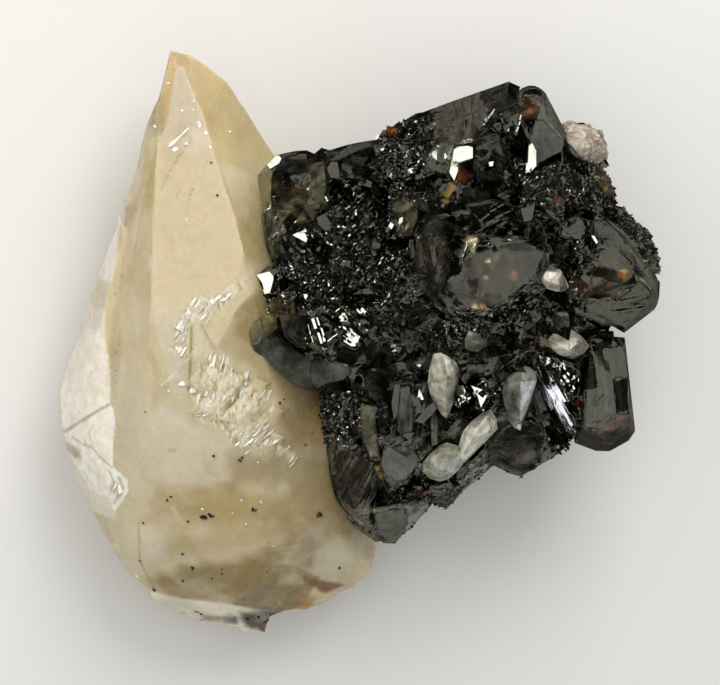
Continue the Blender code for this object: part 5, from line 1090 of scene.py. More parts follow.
def make_sphalerite():
    shape = merged_copy("sphalerite_cluster")
    split_long_edges(shape, SPHALERITE_EDGE, HIDDEN_EDGE, merge=0.1)
    piece = finished("sphalerite_crystals", shape, sphalerite_material("black_sphalerite"),
                     "sphalerite_cluster")
    store_sphalerite_looks(piece)
    return piece


# Single crystal faces that catch the eye: outline, rise per mm along x and y
CRYSTAL_FACES = [
    ([(-11.3, -0.4), (-10.6, 0.6), (-9.5, 0.8), (-8.8, 0), (-7.6, -1.1), (-6.6, -1.7), (-5.9, -2),
     (-6, -3.6), (-5.4, -5.7), (-6.8, -5.5), (-8.2, -4.8), (-9.7, -3.7), (-11, -2.5), (-11.8, -1.5)],
     (0.2, 0.16)),
    ([(-13.3, -0.3), (-12.5, -0.1), (-12.1, 0.5), (-11.5, 0.8), (-11, 0.2), (-11.4, -0.4), (-12, -1.6),
     (-12.9, -1)], (-0.2, 0.14)),
    ([(-5.7, -2), (-4.8, -1.9), (-2.6, -2.6), (-1.2, -3.2), (-1.1, -3.9), (-2, -4.6), (-3.9, -5),
     (-5.2, -5.7), (-5.8, -4.9), (-5.9, -3.4)], (0.12, 0.34)),
    ([(-13.6, 1.4), (-13, 2.6), (-12.2, 3.1), (-12, 1.6), (-12.5, 0.3), (-13.4, -0.2)], (-0.18, 0.06)),
    ([(-12.1, 3.2), (-11.2, 3.5), (-10.2, 3.2), (-10.1, 1.9), (-11, 1), (-12.2, 0.4), (-11.9, 1.7)],
     (0.1, 0.24)),
    ([(-9.8, 3.4), (-8.4, 3.6), (-6.8, 3.4), (-6.2, 1.6), (-6.6, -0.6), (-7.6, -0.6), (-9.2, 0.8)],
     DARK_LEAN),
    ([(-11.4, 22.2), (-10.4, 23.2), (-10, 23.4), (-9.6, 23), (-9.9, 22.4), (-11, 21.7)], (0.30, -0.30)),
    ([(-3.9, 21.7), (-3.4, 22.5), (-2.6, 22.5), (-2.4, 21.2), (-2.4, 20.4), (-3.5, 20.6)],
     (0.07, -0.06)),
    ([(-5.2, 15.6), (-4.2, 16.1), (-3.2, 14.5), (-4, 13.9), (-4.9, 14.6)], (0.06, -0.04)),
    ([(-3.2, 17), (-2.4, 17.2), (-2, 16.4), (-2.2, 15.6), (-3, 15.7)], (0.1, 0.07)),
    ([(5.3, -5.7), (6.1, -5.4), (6.9, -7.4), (6.6, -10.8), (5.4, -11.2), (5, -8.6)], (0.11, 0.12)),
    ([(4.5, -5.2), (5.1, -5.7), (4.9, -8.4), (4.4, -9.6), (4.1, -7.4)], (0.04, -0.06)),
    ([(5.5, -11.5), (6.2, -12), (9.7, -8.2), (9.4, -7.3), (8.5, -8)], (0.07, -0.02)),
    ([(9, -9.4), (9.8, -9.2), (9.8, -12.6), (9.1, -12.8)], (0.13, 0.11)),
    ([(17.2, 18.3), (18.5, 19), (18.8, 17.3)], (0.13, 0.09)),
    ([(20.1, 16.6), (21.9, 17.2), (21.5, 15.3), (20.6, 15)], (0.12, 0.03)),
    ([(6.6, -6.4), (7.5, -6.7), (7.8, -8), (6.9, -7.8)], (0.05, 0)),
    ([(6.2, 12.7), (6.8, 12.9), (7, 10.6), (6.5, 10.3)], (0.13, 0.09)),
    ([(7.4, 12.3), (7.9, 12.6), (8.1, 9.7), (7.6, 9.3)], (0.14, 0.09)),
    ([(8.8, 12), (9.4, 12.2), (9.7, 9.8), (9.3, 9.5)], (0.14, 0.1)),
    ([(-8.2, 13.4), (-6.6, 14.2), (-6.2, 13.4), (-6.5, 12.5)], SHINE),
    ([(-8.7, 9.9), (-8.1, 9.6), (-7.9, 9.2), (-8.5, 9.5)], SHINE),
    ([(-12.7, 8.5), (-11.1, 8.9), (-10.6, 8.3), (-10.6, 7.9), (-11.1, 6), (-11.5, 5.9), (-12, 7.5)],
     SHINE),
    ([(-1.9, 1), (-0.7, 1.4), (0.2, 0.8), (-0.4, -0.4), (-0.9, -0.4), (-1.8, 0.2)], SHINE),
    ([(-2.3, 2.7), (-2, 3.2), (-1.2, 3.2), (-1.4, 2.7)], SHINE),
    ([(0, 4.1), (0.5, 4.4), (1, 3.9), (0.6, 3.4)], SHINE),
    ([(-3, 1.6), (-2.6, 2.1), (-2.2, 2), (-2.6, 1.5)], SHINE),
    ([(-0.9, 6), (0.6, 6.7), (1.3, 6.7), (1.8, 6.1), (0.6, 6.1)], (0.08, -0.1)),
    ([(-2.3, 9.6), (-1.9, 10.3), (-1, 10.2), (-1.1, 9.4)], (0.05, -0.08)),
    ([(1.6, 12), (2, 12.6), (2.8, 12.3), (2.6, 11.7)], (0.06, -0.06)),
    ([(0.7, 19.6), (1, 20.3), (1.7, 20), (1.5, 19.3)], (0.05, -0.05)),
    ([(3.7, 14.5), (4, 15), (4.4, 14.7), (4.1, 14.1)], SHINE),
    ([(6.2, 21.6), (6.9, 21.8), (6.9, 21.2), (6.5, 21.1)], SHINE),
    ([(11.9, 24.1), (12.6, 24.4), (13.6, 24.5), (14.2, 24.3), (14.2, 23), (13.2, 22.7), (12.5, 22.5),
     (11.7, 22.9)], SHINE),
    ([(11.6, 22.8), (12.4, 22.4), (12.3, 21.2), (11.9, 20.2), (11.3, 21.2)], (0.24, -0.25)),
    ([(12.6, 22.4), (13.3, 22.6), (14.2, 22.8), (14.3, 20.8), (13.4, 19.6), (12.4, 20.3)],
     (0.06, 0.26)),
    ([(21.2, 24.5), (21.6, 24.9), (22.1, 23.9), (22.1, 22), (21.3, 21.2), (20.8, 21.5), (21.1, 22.5)],
     (0.31, -0.34)),
    ([(16.2, 22.5), (16.8, 22.6), (16.7, 22), (16.3, 22)], SHINE),
    ([(12.3, -5.2), (13, -5.3), (13.3, -6), (12.6, -7.7), (12.2, -6.8)], SHINE),
    ([(14, -5.3), (15.1, -5.7), (16.2, -6.1), (15.2, -8), (14.8, -6.6)], SHINE),
    ([(7, -5.8), (7.6, -5.7), (8.1, -7), (7.4, -7.2)], (0.24, -0.26)),
    ([(15, 26.5), (15.2, 26.4), (17, 29), (16.9, 29.2)], (0.24, -0.25)),
    ([(28.9, 13.3), (29.3, 13.3), (29.7, 12.5), (29.5, 12.3)], (0.3, -0.3)),
]


# Lines of short narrow faces: points, width, shortest and longest face, gap, rise or None
# for faces that lean in all directions
STREAKS = [
    ([(-5.8, 3), (-5.2, 1.6), (-4.7, 0.4), (-4.3, -0.8)], 0.55, 1.2, 2.2, 0.05, (0.27, -0.3)),
    ([(-5.2, 3.2), (-4.5, 1.4), (-4.1, 0.2)], 0.3, 0.9, 1.6, 0.1, SHINE),
    ([(-6.8, 1.4), (-6.5, 0.4), (-6.2, -0.4)], 0.12, 0.5, 1, 0.1, SHINE),
    ([(-6.3, 2.4), (-6, 1.2), (-5.6, -0.1)], 0.12, 0.5, 1, 0.1, SHINE),
    ([(-4.2, -0.2), (-3.4, 0.6), (-2.6, 1.1)], 0.16, 0.4, 0.8, 0.1, SHINE),
    ([(-3.2, 2.8), (-2.4, 1.4), (-1.8, 1.2)], 0.2, 0.4, 0.8, 0.3, None),
    ([(-13, -0.3), (-11, 0.8), (-9.9, 0.5), (-7.2, -1.6), (-5.4, -2.2), (-2, -2.8)], 0.1, 0.5, 1.4, 0.5,
     (0.04, -0.06)),
    ([(10.6, 29.6), (11.4, 27.2), (11.8, 25.2)], 0.2, 0.7, 1.7, 0.4, (0.05, -0.05)),
    ([(11.6, 30.2), (12.2, 27.6), (12.6, 25)], 0.2, 0.7, 1.7, 0.4, (0.05, -0.05)),
    ([(12.7, 30.4), (13.1, 28), (13.3, 25.2)], 0.18, 0.7, 1.7, 0.5, (0.08, -0.02)),
    ([(13.8, 30.6), (14, 28.4), (13.9, 26)], 0.22, 0.7, 1.7, 0.4, (0, -0.06)),
    ([(14.9, 30.9), (14.9, 29), (14.6, 27.2)], 0.2, 0.7, 1.4, 0.4, (0.05, -0.05)),
    ([(15.2, 26.4), (16.2, 27.8), (17.2, 29.2)], 0.12, 0.7, 1.4, 0.1, (0.22, -0.22)),
    ([(15.8, 26), (16.9, 27.4), (17.8, 28.6)], 0.12, 0.6, 1.2, 0.4, (0.2, -0.2)),
    ([(19.6, 26), (20, 27.2), (20.2, 28.4)], 0.18, 0.4, 0.9, 0.3, SHINE),
    ([(20.4, 31.4), (21.4, 31.7), (22.5, 31.9)], 0.14, 0.5, 0.9, 0.2, (0, 0)),
    ([(28.8, 0), (30.2, -3.8), (31.5, -4.6), (31.8, -7.5), (31.9, -10.8)], 0.2, 0.6, 1.6, 0.2,
     (0.08, -0.06)),
    ([(28, 9.9), (30.4, 9.4), (32.6, 8.9)], 0.12, 0.6, 1.6, 0.3, (0.06, -0.04)),
    ([(16.8, 4.9), (19.4, 6.6), (22, 8.6)], 0.1, 0.5, 1.4, 0.3, (0.03, -0.06)),
    ([(17, 4.4), (19.6, 6.1), (22.3, 8.2)], 0.1, 0.5, 1.4, 0.3, (0.03, -0.06)),
    ([(17.3, 4), (20, 5.7), (22.6, 7.7)], 0.1, 0.5, 1.4, 0.4, (0.03, -0.06)),
    ([(7.2, 12.8), (7.6, 10.8), (8.4, 8.8)], 0.14, 0.5, 1.2, 0.4, (0.14, 0.11)),
    ([(8.2, 13), (8.6, 11), (9.2, 9)], 0.14, 0.5, 1.2, 0.4, None),
    ([(9.2, 13), (9.4, 11.2), (9.9, 9.4)], 0.14, 0.5, 1.2, 0.4, (0.14, 0.11)),
    ([(0.6, 8.2), (0.1, 7.2), (-0.9, 7)], 0.35, 0.5, 0.9, 0.1, (0.05, -0.06)),
    ([(-0.4, 9.7), (0.5, 9), (0.7, 8)], 0.3, 0.5, 0.9, 0.1, (0.05, -0.06)),
    ([(15, 15), (16.4, 16.2), (18, 17.2)], 0.35, 0.8, 1.6, 0.2, (0.04, -0.05)),
    ([(15.8, 14.6), (17.4, 15.8), (19.2, 16.6)], 0.3, 0.8, 1.6, 0.2, (0.05, -0.06)),
    ([(17, 14.4), (18.4, 15.2), (19.8, 15.6)], 0.25, 0.8, 1.4, 0.3, None),
    ([(13.4, 17.2), (14.4, 15.8), (15.4, 14.8)], 0.14, 0.5, 1.2, 0.3, (0.1, -0.1)),
    ([(-3, 23), (-1.6, 24.2), (-0.5, 24.8)], 0.25, 0.5, 1.1, 0.2, (0.03, 0)),
    ([(-4.2, 18.3), (-3.4, 17.1), (-2.9, 16)], 0.25, 0.4, 0.9, 0.1, (0.2, -0.24)),
    ([(5, -4), (6.4, -5.4), (7.6, -7.8)], 0.2, 0.4, 1, 0.4, None),
    ([(8.4, -12), (9.6, -13.6), (11, -15.2)], 0.14, 0.4, 1, 0.6, None),
]


def streak_faces():
    """Outlines and rises of the narrow faces along the streaks."""
    draw = random.Random(31)
    faces = []
    for line, width, shortest, longest, gap, lean in STREAKS:
        points = [Vector(point) for point in line]
        lengths = [(after - before).length for before, after in zip(points, points[1:])]
        total = sum(lengths)
        start = draw.uniform(0, gap)
        while start < total:
            length = draw.uniform(shortest, longest)
            ends = []
            for target in (start, min(start + length, total)):
                for index, reach in enumerate(lengths):
                    if target <= reach or index == len(lengths) - 1:
                        share = min(target / reach, 1.0)
                        ends.append(points[index].lerp(points[index + 1], share))
                        break
                    target -= reach
            run = ends[1] - ends[0]
            if run.length > 0.15:
                side = Vector((-run.y, run.x)).normalized() * width / 2
                side *= draw.uniform(0.6, 1.3)
                slip = side * draw.uniform(-0.4, 0.4)
                outline = [ends[0] + slip - side * 0.4, ends[0] + slip + side,
                           ends[1] + slip + side * 0.5, ends[1] + slip - side]
                rise = lean or (draw.uniform(-0.5, 0.5), draw.uniform(-0.5, 0.5))
                rise = (rise[0] + draw.uniform(-0.025, 0.025),
                        rise[1] + draw.uniform(-0.025, 0.025))
                faces.append(([tuple(point) for point in outline], rise))
            start += length + gap * draw.uniform(0.3, 1.4)
    return faces


# How far a raised crystal's foot reaches into the ground
ROOT = 0.8


def highest(skins, x, y):
    """The height of the topmost surface at x, y."""
    return max(height_at(skin, x, y, 24.0) for skin in skins)


def raised_faces(skins, faces, clearance=0.08, sink=0.0):
    """Low crystals, each raised to one flat face, standing on the specimen's surfaces.

    Sink lets each one drop, from standing clear of the surface to lying wholly in it."""
    shape = bmesh.new()
    for outline, lean in faces:
        middle = middle_of(outline)
        grounds = [highest(skins, x, y) for x, y in outline]
        grounds.append(highest(skins, middle.x, middle.y))
        rises = [lean[0] * (x - middle.x) + lean[1] * (y - middle.y) for x, y in outline] + [0.0]
        gaps = sorted(ground - rise for ground, rise in zip(grounds, rises))
        level = gaps[-1] * (1 - sink) + gaps[0] * sink + clearance
        add_block(shape, [((x, y, level + rise),
                           (*((Vector((x, y)) - middle) * 1.12 + middle), ground - ROOT))
                          for (x, y), ground, rise in zip(outline, grounds, rises)])
    bmesh.ops.recalc_face_normals(shape, faces=shape.faces)
    bmesh.ops.triangulate(shape, faces=shape.faces)
    return shape


# Parts broken up into small bright faces: outline, width and length of the faces, their
# direction in degrees from x, seed, lean, scatter of the lean, size, how many are there
SPARKLING_PATCHES = [
    ([(24, -2.3), (27.2, -3.4), (27.5, -9), (26.4, -7.4), (25, -4.8)], 0.3, 0.5, -60, 48, SHINE, 0.18,
     0.85, 0.9),
    ([(22.9, -9.4), (24.6, -9.8), (26.4, -11.4), (26.6, -12.8), (24.8, -13.6), (23.6, -12.2)], 0.4, 0.7,
     -50, 49, SHINE, 0.12, 0.88, 0.9),
    ([(22.1, -1.6), (23.6, -1.4), (24.6, -2.6), (23.6, -3.5), (22.1, -3.4)], 0.35, 0.6, -50, 42, SHINE,
     0.18, 0.9, 0.9),
    ([(10.4, -4.7), (12.8, -5), (15, -5.6), (16.5, -7.2), (14.4, -10), (12.8, -9.8), (12.2, -7.2)],
     0.36, 0.55, 20, 44, SHINE, 0.13, 0.88, 0.85),
    ([(-3.4, 3.8), (-1, 4.4), (1, 3.6), (1.4, 1.4), (0.4, -0.6), (-1.6, 0), (-3, 1.4)], 0.32, 0.6, -40,
     45, SHINE, 0.24, 0.9, 0.7),
    ([(-9.6, 13), (-6, 14.4), (-3, 13.6), (-3.2, 11.4), (-6, 10.4), (-9, 11.4)], 0.34, 0.7, -50, 46,
     (0.22, -0.22), 0.24, 0.9, 0.5),
    ([(2, 15), (6.6, 15.6), (6.8, 13.4), (3, 12.6)], 0.4, 0.8, 60, 47, (0.16, -0.2), 0.22, 0.9, 0.5),
]


# Long curved blades: points, width
CURVED_BLADES = [
    ([(22, -3.1), (22.7, -5.2), (23.5, -7.4), (24.6, -9.6), (25.9, -11.2), (26.7, -12)], 0.8),
    ([(22.6, -3), (23.2, -4.9), (24.05, -6.9), (25.1, -9), (26.4, -10.8)], 0.36),
    ([(23, -3.2), (23.7, -5), (24.5, -6.9), (25.6, -8.8), (26.8, -10.5), (27.1, -11.2)], 0.55),
    ([(23.6, -3.8), (24.3, -5.4), (25.2, -7.2), (26.3, -8.9)], 0.3),
    ([(24.2, -4.6), (25, -6.2), (26, -7.9), (27.1, -9.5)], 0.4),
    ([(23, -7.9), (23.6, -9.3), (24.6, -10.9), (25.6, -12)], 0.34),
    ([(21.9, -4.6), (22.3, -6.4), (23, -8.3), (23.9, -10), (24.8, -11.4)], 0.8),
    ([(23.4, -10.4), (24, -11.6), (24.9, -12.9)], 0.6),
]


BLADE_HEIGHT = 0.12
BLADE_ROOT = 0.9


def make_curved_blades(skins):
    """Low blades that follow the ground along a line, and shine along their whole length, with a
    painted reflection in their pale grey-violet colour.
    """
    shape = bmesh.new()
    for line, width in CURVED_BLADES:
        spots = [Vector(line[0])]
        for first, second in zip(line, line[1:]):
            run = Vector(second) - Vector(first)
            steps = max(2, round(run.length / 0.22))
            spots += [Vector(first) + run * (step / steps) for step in range(1, steps + 1)]
        sides = []
        for index, spot in enumerate(spots):
            run = spots[min(index + 1, len(spots) - 1)] - spots[max(index - 1, 0)]
            taper = min(1.0, 0.25 + 4 * min(index, len(spots) - 1 - index) / len(spots))
            sides.append(Vector((-run.y, run.x)).normalized() * width / 2 * taper)
        levels = [max(highest(skins, *(spot + side * part)) for part in (-1, 0, 1))
                  for spot, side in zip(spots, sides)]
        before = None
        for index, (spot, side) in enumerate(zip(spots, sides)):
            near = levels[max(index - 2, 0):index + 3]
            level = sum(near) / len(near) + BLADE_HEIGHT
            row = [shape.verts.new(Vector((*(spot + side * part), level - depth)) * MM)
                   for part, depth in ((-1.15, BLADE_ROOT), (-1, 0), (1, 0), (1.15, BLADE_ROOT))]
            if before:
                for first, second in ((0, 1), (1, 2), (2, 3), (3, 0)):
                    shape.faces.new((before[first], before[second], row[second], row[first]))
            else:
                shape.faces.new(row)
            before = row
        shape.faces.new(before[::-1])
    bmesh.ops.recalc_face_normals(shape, faces=shape.faces)
    bmesh.ops.triangulate(shape, faces=shape.faces)
    material = sphalerite_material("curved_blades", 0.1, (0.93, 0.94, 1.0, 1.0))
    piece = finished("curved_blades", shape, material)
    store_sphalerite_looks(piece, 0.14)
    count = len(piece.data.vertices)
    # Painted reflection: a pale grey-violet colour that keeps the blades bright even where they lie in
    # shade
    store_colour(piece.data, "tint", plain_colour(count, (140, 142, 160)))
    store_number(piece.data, "aim_share", np.ones(count))
    store_vector(piece.data, "aim", np.tile(np.array(normal_of(SHINE)), (count, 1)))
    return piece


# Crystals that fill the gaps between the large ones: outline, rise, lowest and highest level
FILLING_CRYSTALS = [
    ([(-5.6, 23.6), (-4.6, 24.4), (-3.4, 24), (-2.6, 22.4), (-2.9, 20.6), (-4.4, 19.6), (-5.8, 21)],
     (0.1, 0.2), 12, 21),
]


def make_filling_crystals():
    shape = bmesh.new()
    for outline, lean, low, high in FILLING_CRYSTALS:
        middle = middle_of(outline)
        add_block(shape, [((x, y, high + lean[0] * (x - middle.x) + lean[1] * (y - middle.y)),
                           (*middle.lerp(Vector((x, y)), 0.8), low)) for x, y in outline])
    bmesh.ops.recalc_face_normals(shape, faces=shape.faces)
    split_long_edges(shape, SPHALERITE_EDGE)
    piece = finished("filling_crystals", shape, sphalerite_material("filling_sphalerite"))
    store_sphalerite_looks(piece, 0.12)
    return piece


def make_crystal_faces(skins):
    faces = CRYSTAL_FACES + streak_faces()
    for patch in SPARKLING_PATCHES:
        faces += broken_cells(*patch)
    piece = finished("bright_crystal_faces", raised_faces(skins, faces),
                     sphalerite_material("bright_sphalerite", 0.12))
    store_sphalerite_looks(piece, 0.06)
    return piece


# Small crystals grown over the slopes, by Geometry Nodes

DRUSY_SLOPES = [
    ([(-9.6, 5), (-10, 9.4), (-6, 10), (-5.4, 14), (-3.6, 16), (-3.6, 19.8), (-2, 19.5), (0, 19),
     (2, 21), (3, 25.8), (6.2, 27.4), (10, 28.8), (9, 25.4), (8.2, 21.2), (9.6, 19), (10.4, 16.6),
     (7.4, 18), (4, 17.6), (4.8, 13), (6.8, 12.6), (7, 8), (6.4, 4), (3, 2.6), (0.6, 3), (-6, 4.4)], 1),
    ([(20, 15.6), (20.2, 21.4), (24, 22.4), (28.9, 22.2), (30.4, 22.2), (31.9, 19.4), (32.4, 17.4),
     (29, 16.9), (25, 17.2), (22, 16.8)], 1),
    ([(18.6, 21.4), (20.8, 22), (20, 17.8), (18, 18.6)], 0.5),
    ([(9, 3), (13, 3.4), (22.6, 5.6), (23, 3.4), (17, 1.8), (12.6, -2), (9, 0.4)], 0.6),
    ([(23.4, 4.2), (26, 12.6), (30, 12.2), (28, 4.2)], 0.7),
    ([(33, 16.8), (36.4, 13.6), (38, 9), (36.6, 8.6), (34.6, 12.4), (32.4, 15.2)], 0.8),
    ([(12.3, -6.2), (17.5, -6.2), (17.4, -8.4), (14.4, -9.8), (12, -9.6)], 0.9),
    ([(-5, -6), (0, -6.4), (0.2, -12), (-4.8, -12.6)], 0.5),
    ([(4, -17.6), (8, -16), (12.6, -17.4), (12.6, -19.6), (5, -20)], 0.5),
    ([(-12.9, 5.8), (-8, 5.4), (-8, 3.2), (-12, 3)], 0.5),
]


def slope_cover(points):
    """How thickly small crystals grow at each point, from 0 to 1."""
    cover = np.zeros(len(points))
    patchy = waves(points, 2.4, 11)
    for outline, amount in DRUSY_SLOPES:
        share = soft_step(depth_inside(points, outline), -0.5, 0.3) * amount
        cover = np.maximum(cover, share)
    cover *= soft_step(patchy, 0.22, 0.42)
    cover[points[:, 2] < 19] = 0
    return cover


def room_around(skin, points, reach):
    """Whether each point stays this far, in millimetres, inside the outline seen from above."""
    inside = np.ones(len(points), dtype=bool)
    for turn in range(8):
        step = (reach * math.cos(turn * math.pi / 4), reach * math.sin(turn * math.pi / 4))
        for index, (x, y, z) in enumerate(points):
            if inside[index] and height_at(skin, x + step[0], y + step[1]) is None:
                inside[index] = False
    return inside


def back_cover(points, inside):
    """How thickly crystals grow on the sides that the camera's own view doesn't reach."""
    patchy = waves(points, 5.0, 12)
    cover = soft_step(17.0 - points[:, 2], -0.5, 2.0) * soft_step(patchy, 0.35, 0.6)
    column = (points[:, 0] > 25) & (points[:, 1] < 2.5) & (points[:, 2] > 8)
    cover[(points[:, 2] < 0.8) | ~inside | column] = 0
    return cover


def side_cover(points, inside):
    """How thickly small crystals grow on the steep sides, out to the outline."""
    patchy = waves(points, 3.0, 13)
    cover = soft_step(patchy, 0.35, 0.6) * (points[:, 2] > 1.5) * (points[:, 2] < 19)
    column = (points[:, 0] > 25.0) & (points[:, 1] < 1.5)
    return cover * ~inside * ~column


def seed_crystal(name, points):
    """A small crystal as a model that Geometry Nodes copies."""
    shape = bmesh.new()
    for point in points:
        shape.verts.new(point)
    bmesh.ops.convex_hull(shape, input=shape.verts)
    bmesh.ops.recalc_face_normals(shape, faces=shape.faces)
    return in_scene(name, mesh_of(shape, name))


TETRAHEDRON = [
    (1, 1, 1), (1, -1, -1), (-1, 1, -1), (-1, -1, 1),
]
FLAT_TOPPED = [
    (0.9, 0, 0.3), (-0.45, 0.8, 0.3), (-0.45, -0.8, 0.3), (0.3, 0.5, -0.9), (-0.6, 0, -0.9),
    (0.3, -0.5, -0.9), (0.5, 0.75, 0.05),
]


def growth_tree(name, crystal, aligned):
    """Geometry Nodes that stand copies of a crystal on a surface, where its cover is thick.

    The copies are turned at random, or lean with their flat top to one direction."""
    tree = bpy.data.node_groups.new(name, "GeometryNodeTree")
    face = tree.interface
    face.new_socket("Geometry", in_out="INPUT", socket_type="NodeSocketGeometry")
    for label, kind in (("Spacing", "NodeSocketFloat"), ("Most per square metre", "NodeSocketFloat"),
                        ("Smallest", "NodeSocketFloat"), ("Largest", "NodeSocketFloat"),
                        ("Lean", "NodeSocketVector"), ("Scatter", "NodeSocketFloat"),
                        ("Least spin", "NodeSocketVector"), ("Most spin", "NodeSocketVector"),
                        ("Seed", "NodeSocketInt"), ("Material", "NodeSocketMaterial")):
        face.new_socket(label, in_out="INPUT", socket_type=kind)
    face.new_socket("Geometry", in_out="OUTPUT", socket_type="NodeSocketGeometry")
    given = tree.nodes.new("NodeGroupInput").outputs
    cover = add_node(tree, "GeometryNodeInputNamedAttribute", {"data_type": "FLOAT"})
    cover.inputs["Name"].default_value = "cover"
    points = add_node(tree, "GeometryNodeDistributePointsOnFaces",
                      {"distribute_method": "POISSON"}, Mesh=given["Geometry"],
                      Distance_Min=given["Spacing"], Density_Max=given["Most per square metre"],
                      Density_Factor=cover.outputs["Attribute"], Seed=given["Seed"])
    size = add_node(tree, "FunctionNodeRandomValue", {"data_type": "FLOAT"}, Seed=given["Seed"])
    plug(tree, size, 2, given["Smallest"])
    plug(tree, size, 3, given["Largest"])
    spin = add_node(tree, "FunctionNodeRandomValue", {"data_type": "FLOAT_VECTOR"})
    if aligned:
        shake = add_node(tree, "FunctionNodeRandomValue", {"data_type": "FLOAT_VECTOR"})
        shake.inputs[0].default_value = (-1, -1, -1)
        shake.inputs[1].default_value = (1, 1, 1)
        scaled = vector_math(tree, "SCALE", shake.outputs[0], given["Scatter"])
        plug(tree, spin, 0, given["Least spin"])
        plug(tree, spin, 1, given["Most spin"])
        turn = add_node(tree, "FunctionNodeAlignRotationToVector", {"axis": "Z"},
                        Rotation=spin.outputs[0],
                        Vector=vector_math(tree, "ADD", given["Lean"], scaled))
        rotation = turn.outputs[0]
    else:
        spin.inputs[0].default_value = (0, 0, 0)
        spin.inputs[1].default_value = (6.283, 6.283, 6.283)
        rotation = spin.outputs[0]
    model = add_node(tree, "GeometryNodeObjectInfo")
    model.inputs["Object"].default_value = crystal
    copies = add_node(tree, "GeometryNodeInstanceOnPoints", Points=points.outputs["Points"],
                      Instance=model.outputs["Geometry"], Rotation=rotation,
                      Scale=size.outputs[1])
    real = add_node(tree, "GeometryNodeRealizeInstances", Geometry=copies.outputs[0])
    dressed = add_node(tree, "GeometryNodeSetMaterial", Geometry=real.outputs[0],
                       Material=given["Material"])
    out = tree.nodes.new("NodeGroupOutput")
    tree.links.new(dressed.outputs[0], out.inputs[0])
    return tree


def set_inputs(modifier, tree, values):
    """Set a modifier's named inputs by their identifiers."""
    for item in tree.interface.items_tree:
        if item.in_out == "INPUT" and item.name in values:
            modifier[item.identifier] = values[item.name]


def grown_piece(name, emitter, tree, values, material):
    """Run a Geometry Nodes tree on a surface and keep the result as a plain mesh."""
    modifier = emitter.modifiers.new(name, "NODES")
    modifier.node_group = tree
    set_inputs(modifier, tree, {**values, "Material": material})
    emitter.update_tag()
    graph = bpy.context.evaluated_depsgraph_get()
    mesh = bpy.data.meshes.new_from_object(emitter.evaluated_get(graph))
    emitter.modifiers.remove(modifier)
    mesh.name = name
    if not mesh.materials:
        mesh.materials.append(material)
    return register(in_scene(name, mesh), None)


def bare_copy(source, name):
    """A copy of a piece without what is stored on its points for the material."""
    item = in_scene(name, source.data.copy())
    stored = item.data.attributes
    for label in ("tint", "dullness", "weave", "unevenness", "fineness", "aim", "aim_share"):
        if label in stored:
            stored.remove(stored[label])
    return item


def make_small_crystals(sphalerite, skin):
    material = sphalerite_material("small_sphalerite", 0.1)
    tetrahedron = seed_crystal("tetrahedron_model", TETRAHEDRON)
    flat_topped = seed_crystal("flat_topped_model", FLAT_TOPPED)
    emitter = bare_copy(sphalerite, "slopes")
    points = places_of(emitter.data)
    store_number(emitter.data, "cover", slope_cover(points))
    drusy = growth_tree("drusy_growth", tetrahedron, False)
    sparkle = growth_tree("sparkling_growth", flat_topped, True)
    pieces = [grown_piece("drusy_crystals", emitter, drusy, {
        "Spacing": 0.24 * MM, "Most per square metre": 1.6e7, "Smallest": 0.1 * MM,
        "Largest": 0.34 * MM, "Seed": 5}, material)]
    pieces.append(grown_piece("sparkling_crystals", emitter, sparkle, {
        "Spacing": 0.32 * MM, "Most per square metre": 5e6, "Smallest": 0.06 * MM,
        "Largest": 0.2 * MM, "Lean": (-0.301, 0.301, 0.905), "Scatter": 0.24, "Seed": 8,
        "Least spin": (0.0, 0.0, 0.0), "Most spin": (0.0, 0.0, 6.283)},
        material))
    emitter.data.attributes.remove(emitter.data.attributes["cover"])
    inside = room_around(skin, points, 1.3)
    store_number(emitter.data, "cover", back_cover(points, inside))
    pieces.append(grown_piece("back_crystals", emitter, drusy, {
        "Spacing": 1.3 * MM, "Most per square metre": 4e5, "Smallest": 0.6 * MM,
        "Largest": 1.3 * MM, "Seed": 9}, material))
    emitter.data.attributes.remove(emitter.data.attributes["cover"])
    store_number(emitter.data, "cover", side_cover(points, inside))
    pieces.append(grown_piece("side_crystals", emitter, drusy, {
        "Spacing": 0.4 * MM, "Most per square metre": 3e6, "Smallest": 0.08 * MM,
        "Largest": 0.26 * MM, "Seed": 14}, material))
    for piece in pieces:
        store_sphalerite_looks(piece, 0.05, piece.name.startswith("drusy"))
    for item in (emitter, tetrahedron, flat_topped):
        bpy.data.objects.remove(item)
    return pieces


def clipped(polygon, middle, normal):
    """The part of a convex polygon on the near side of a line through middle."""
    kept = []
    for index, point in enumerate(polygon):
        before = polygon[index - 1]
        here = (point - middle).dot(normal)
        there = (before - middle).dot(normal)
        if here * there < 0:
            kept.append(before.lerp(point, there / (there - here)))
        if here <= 0:
            kept.append(point)
    return kept


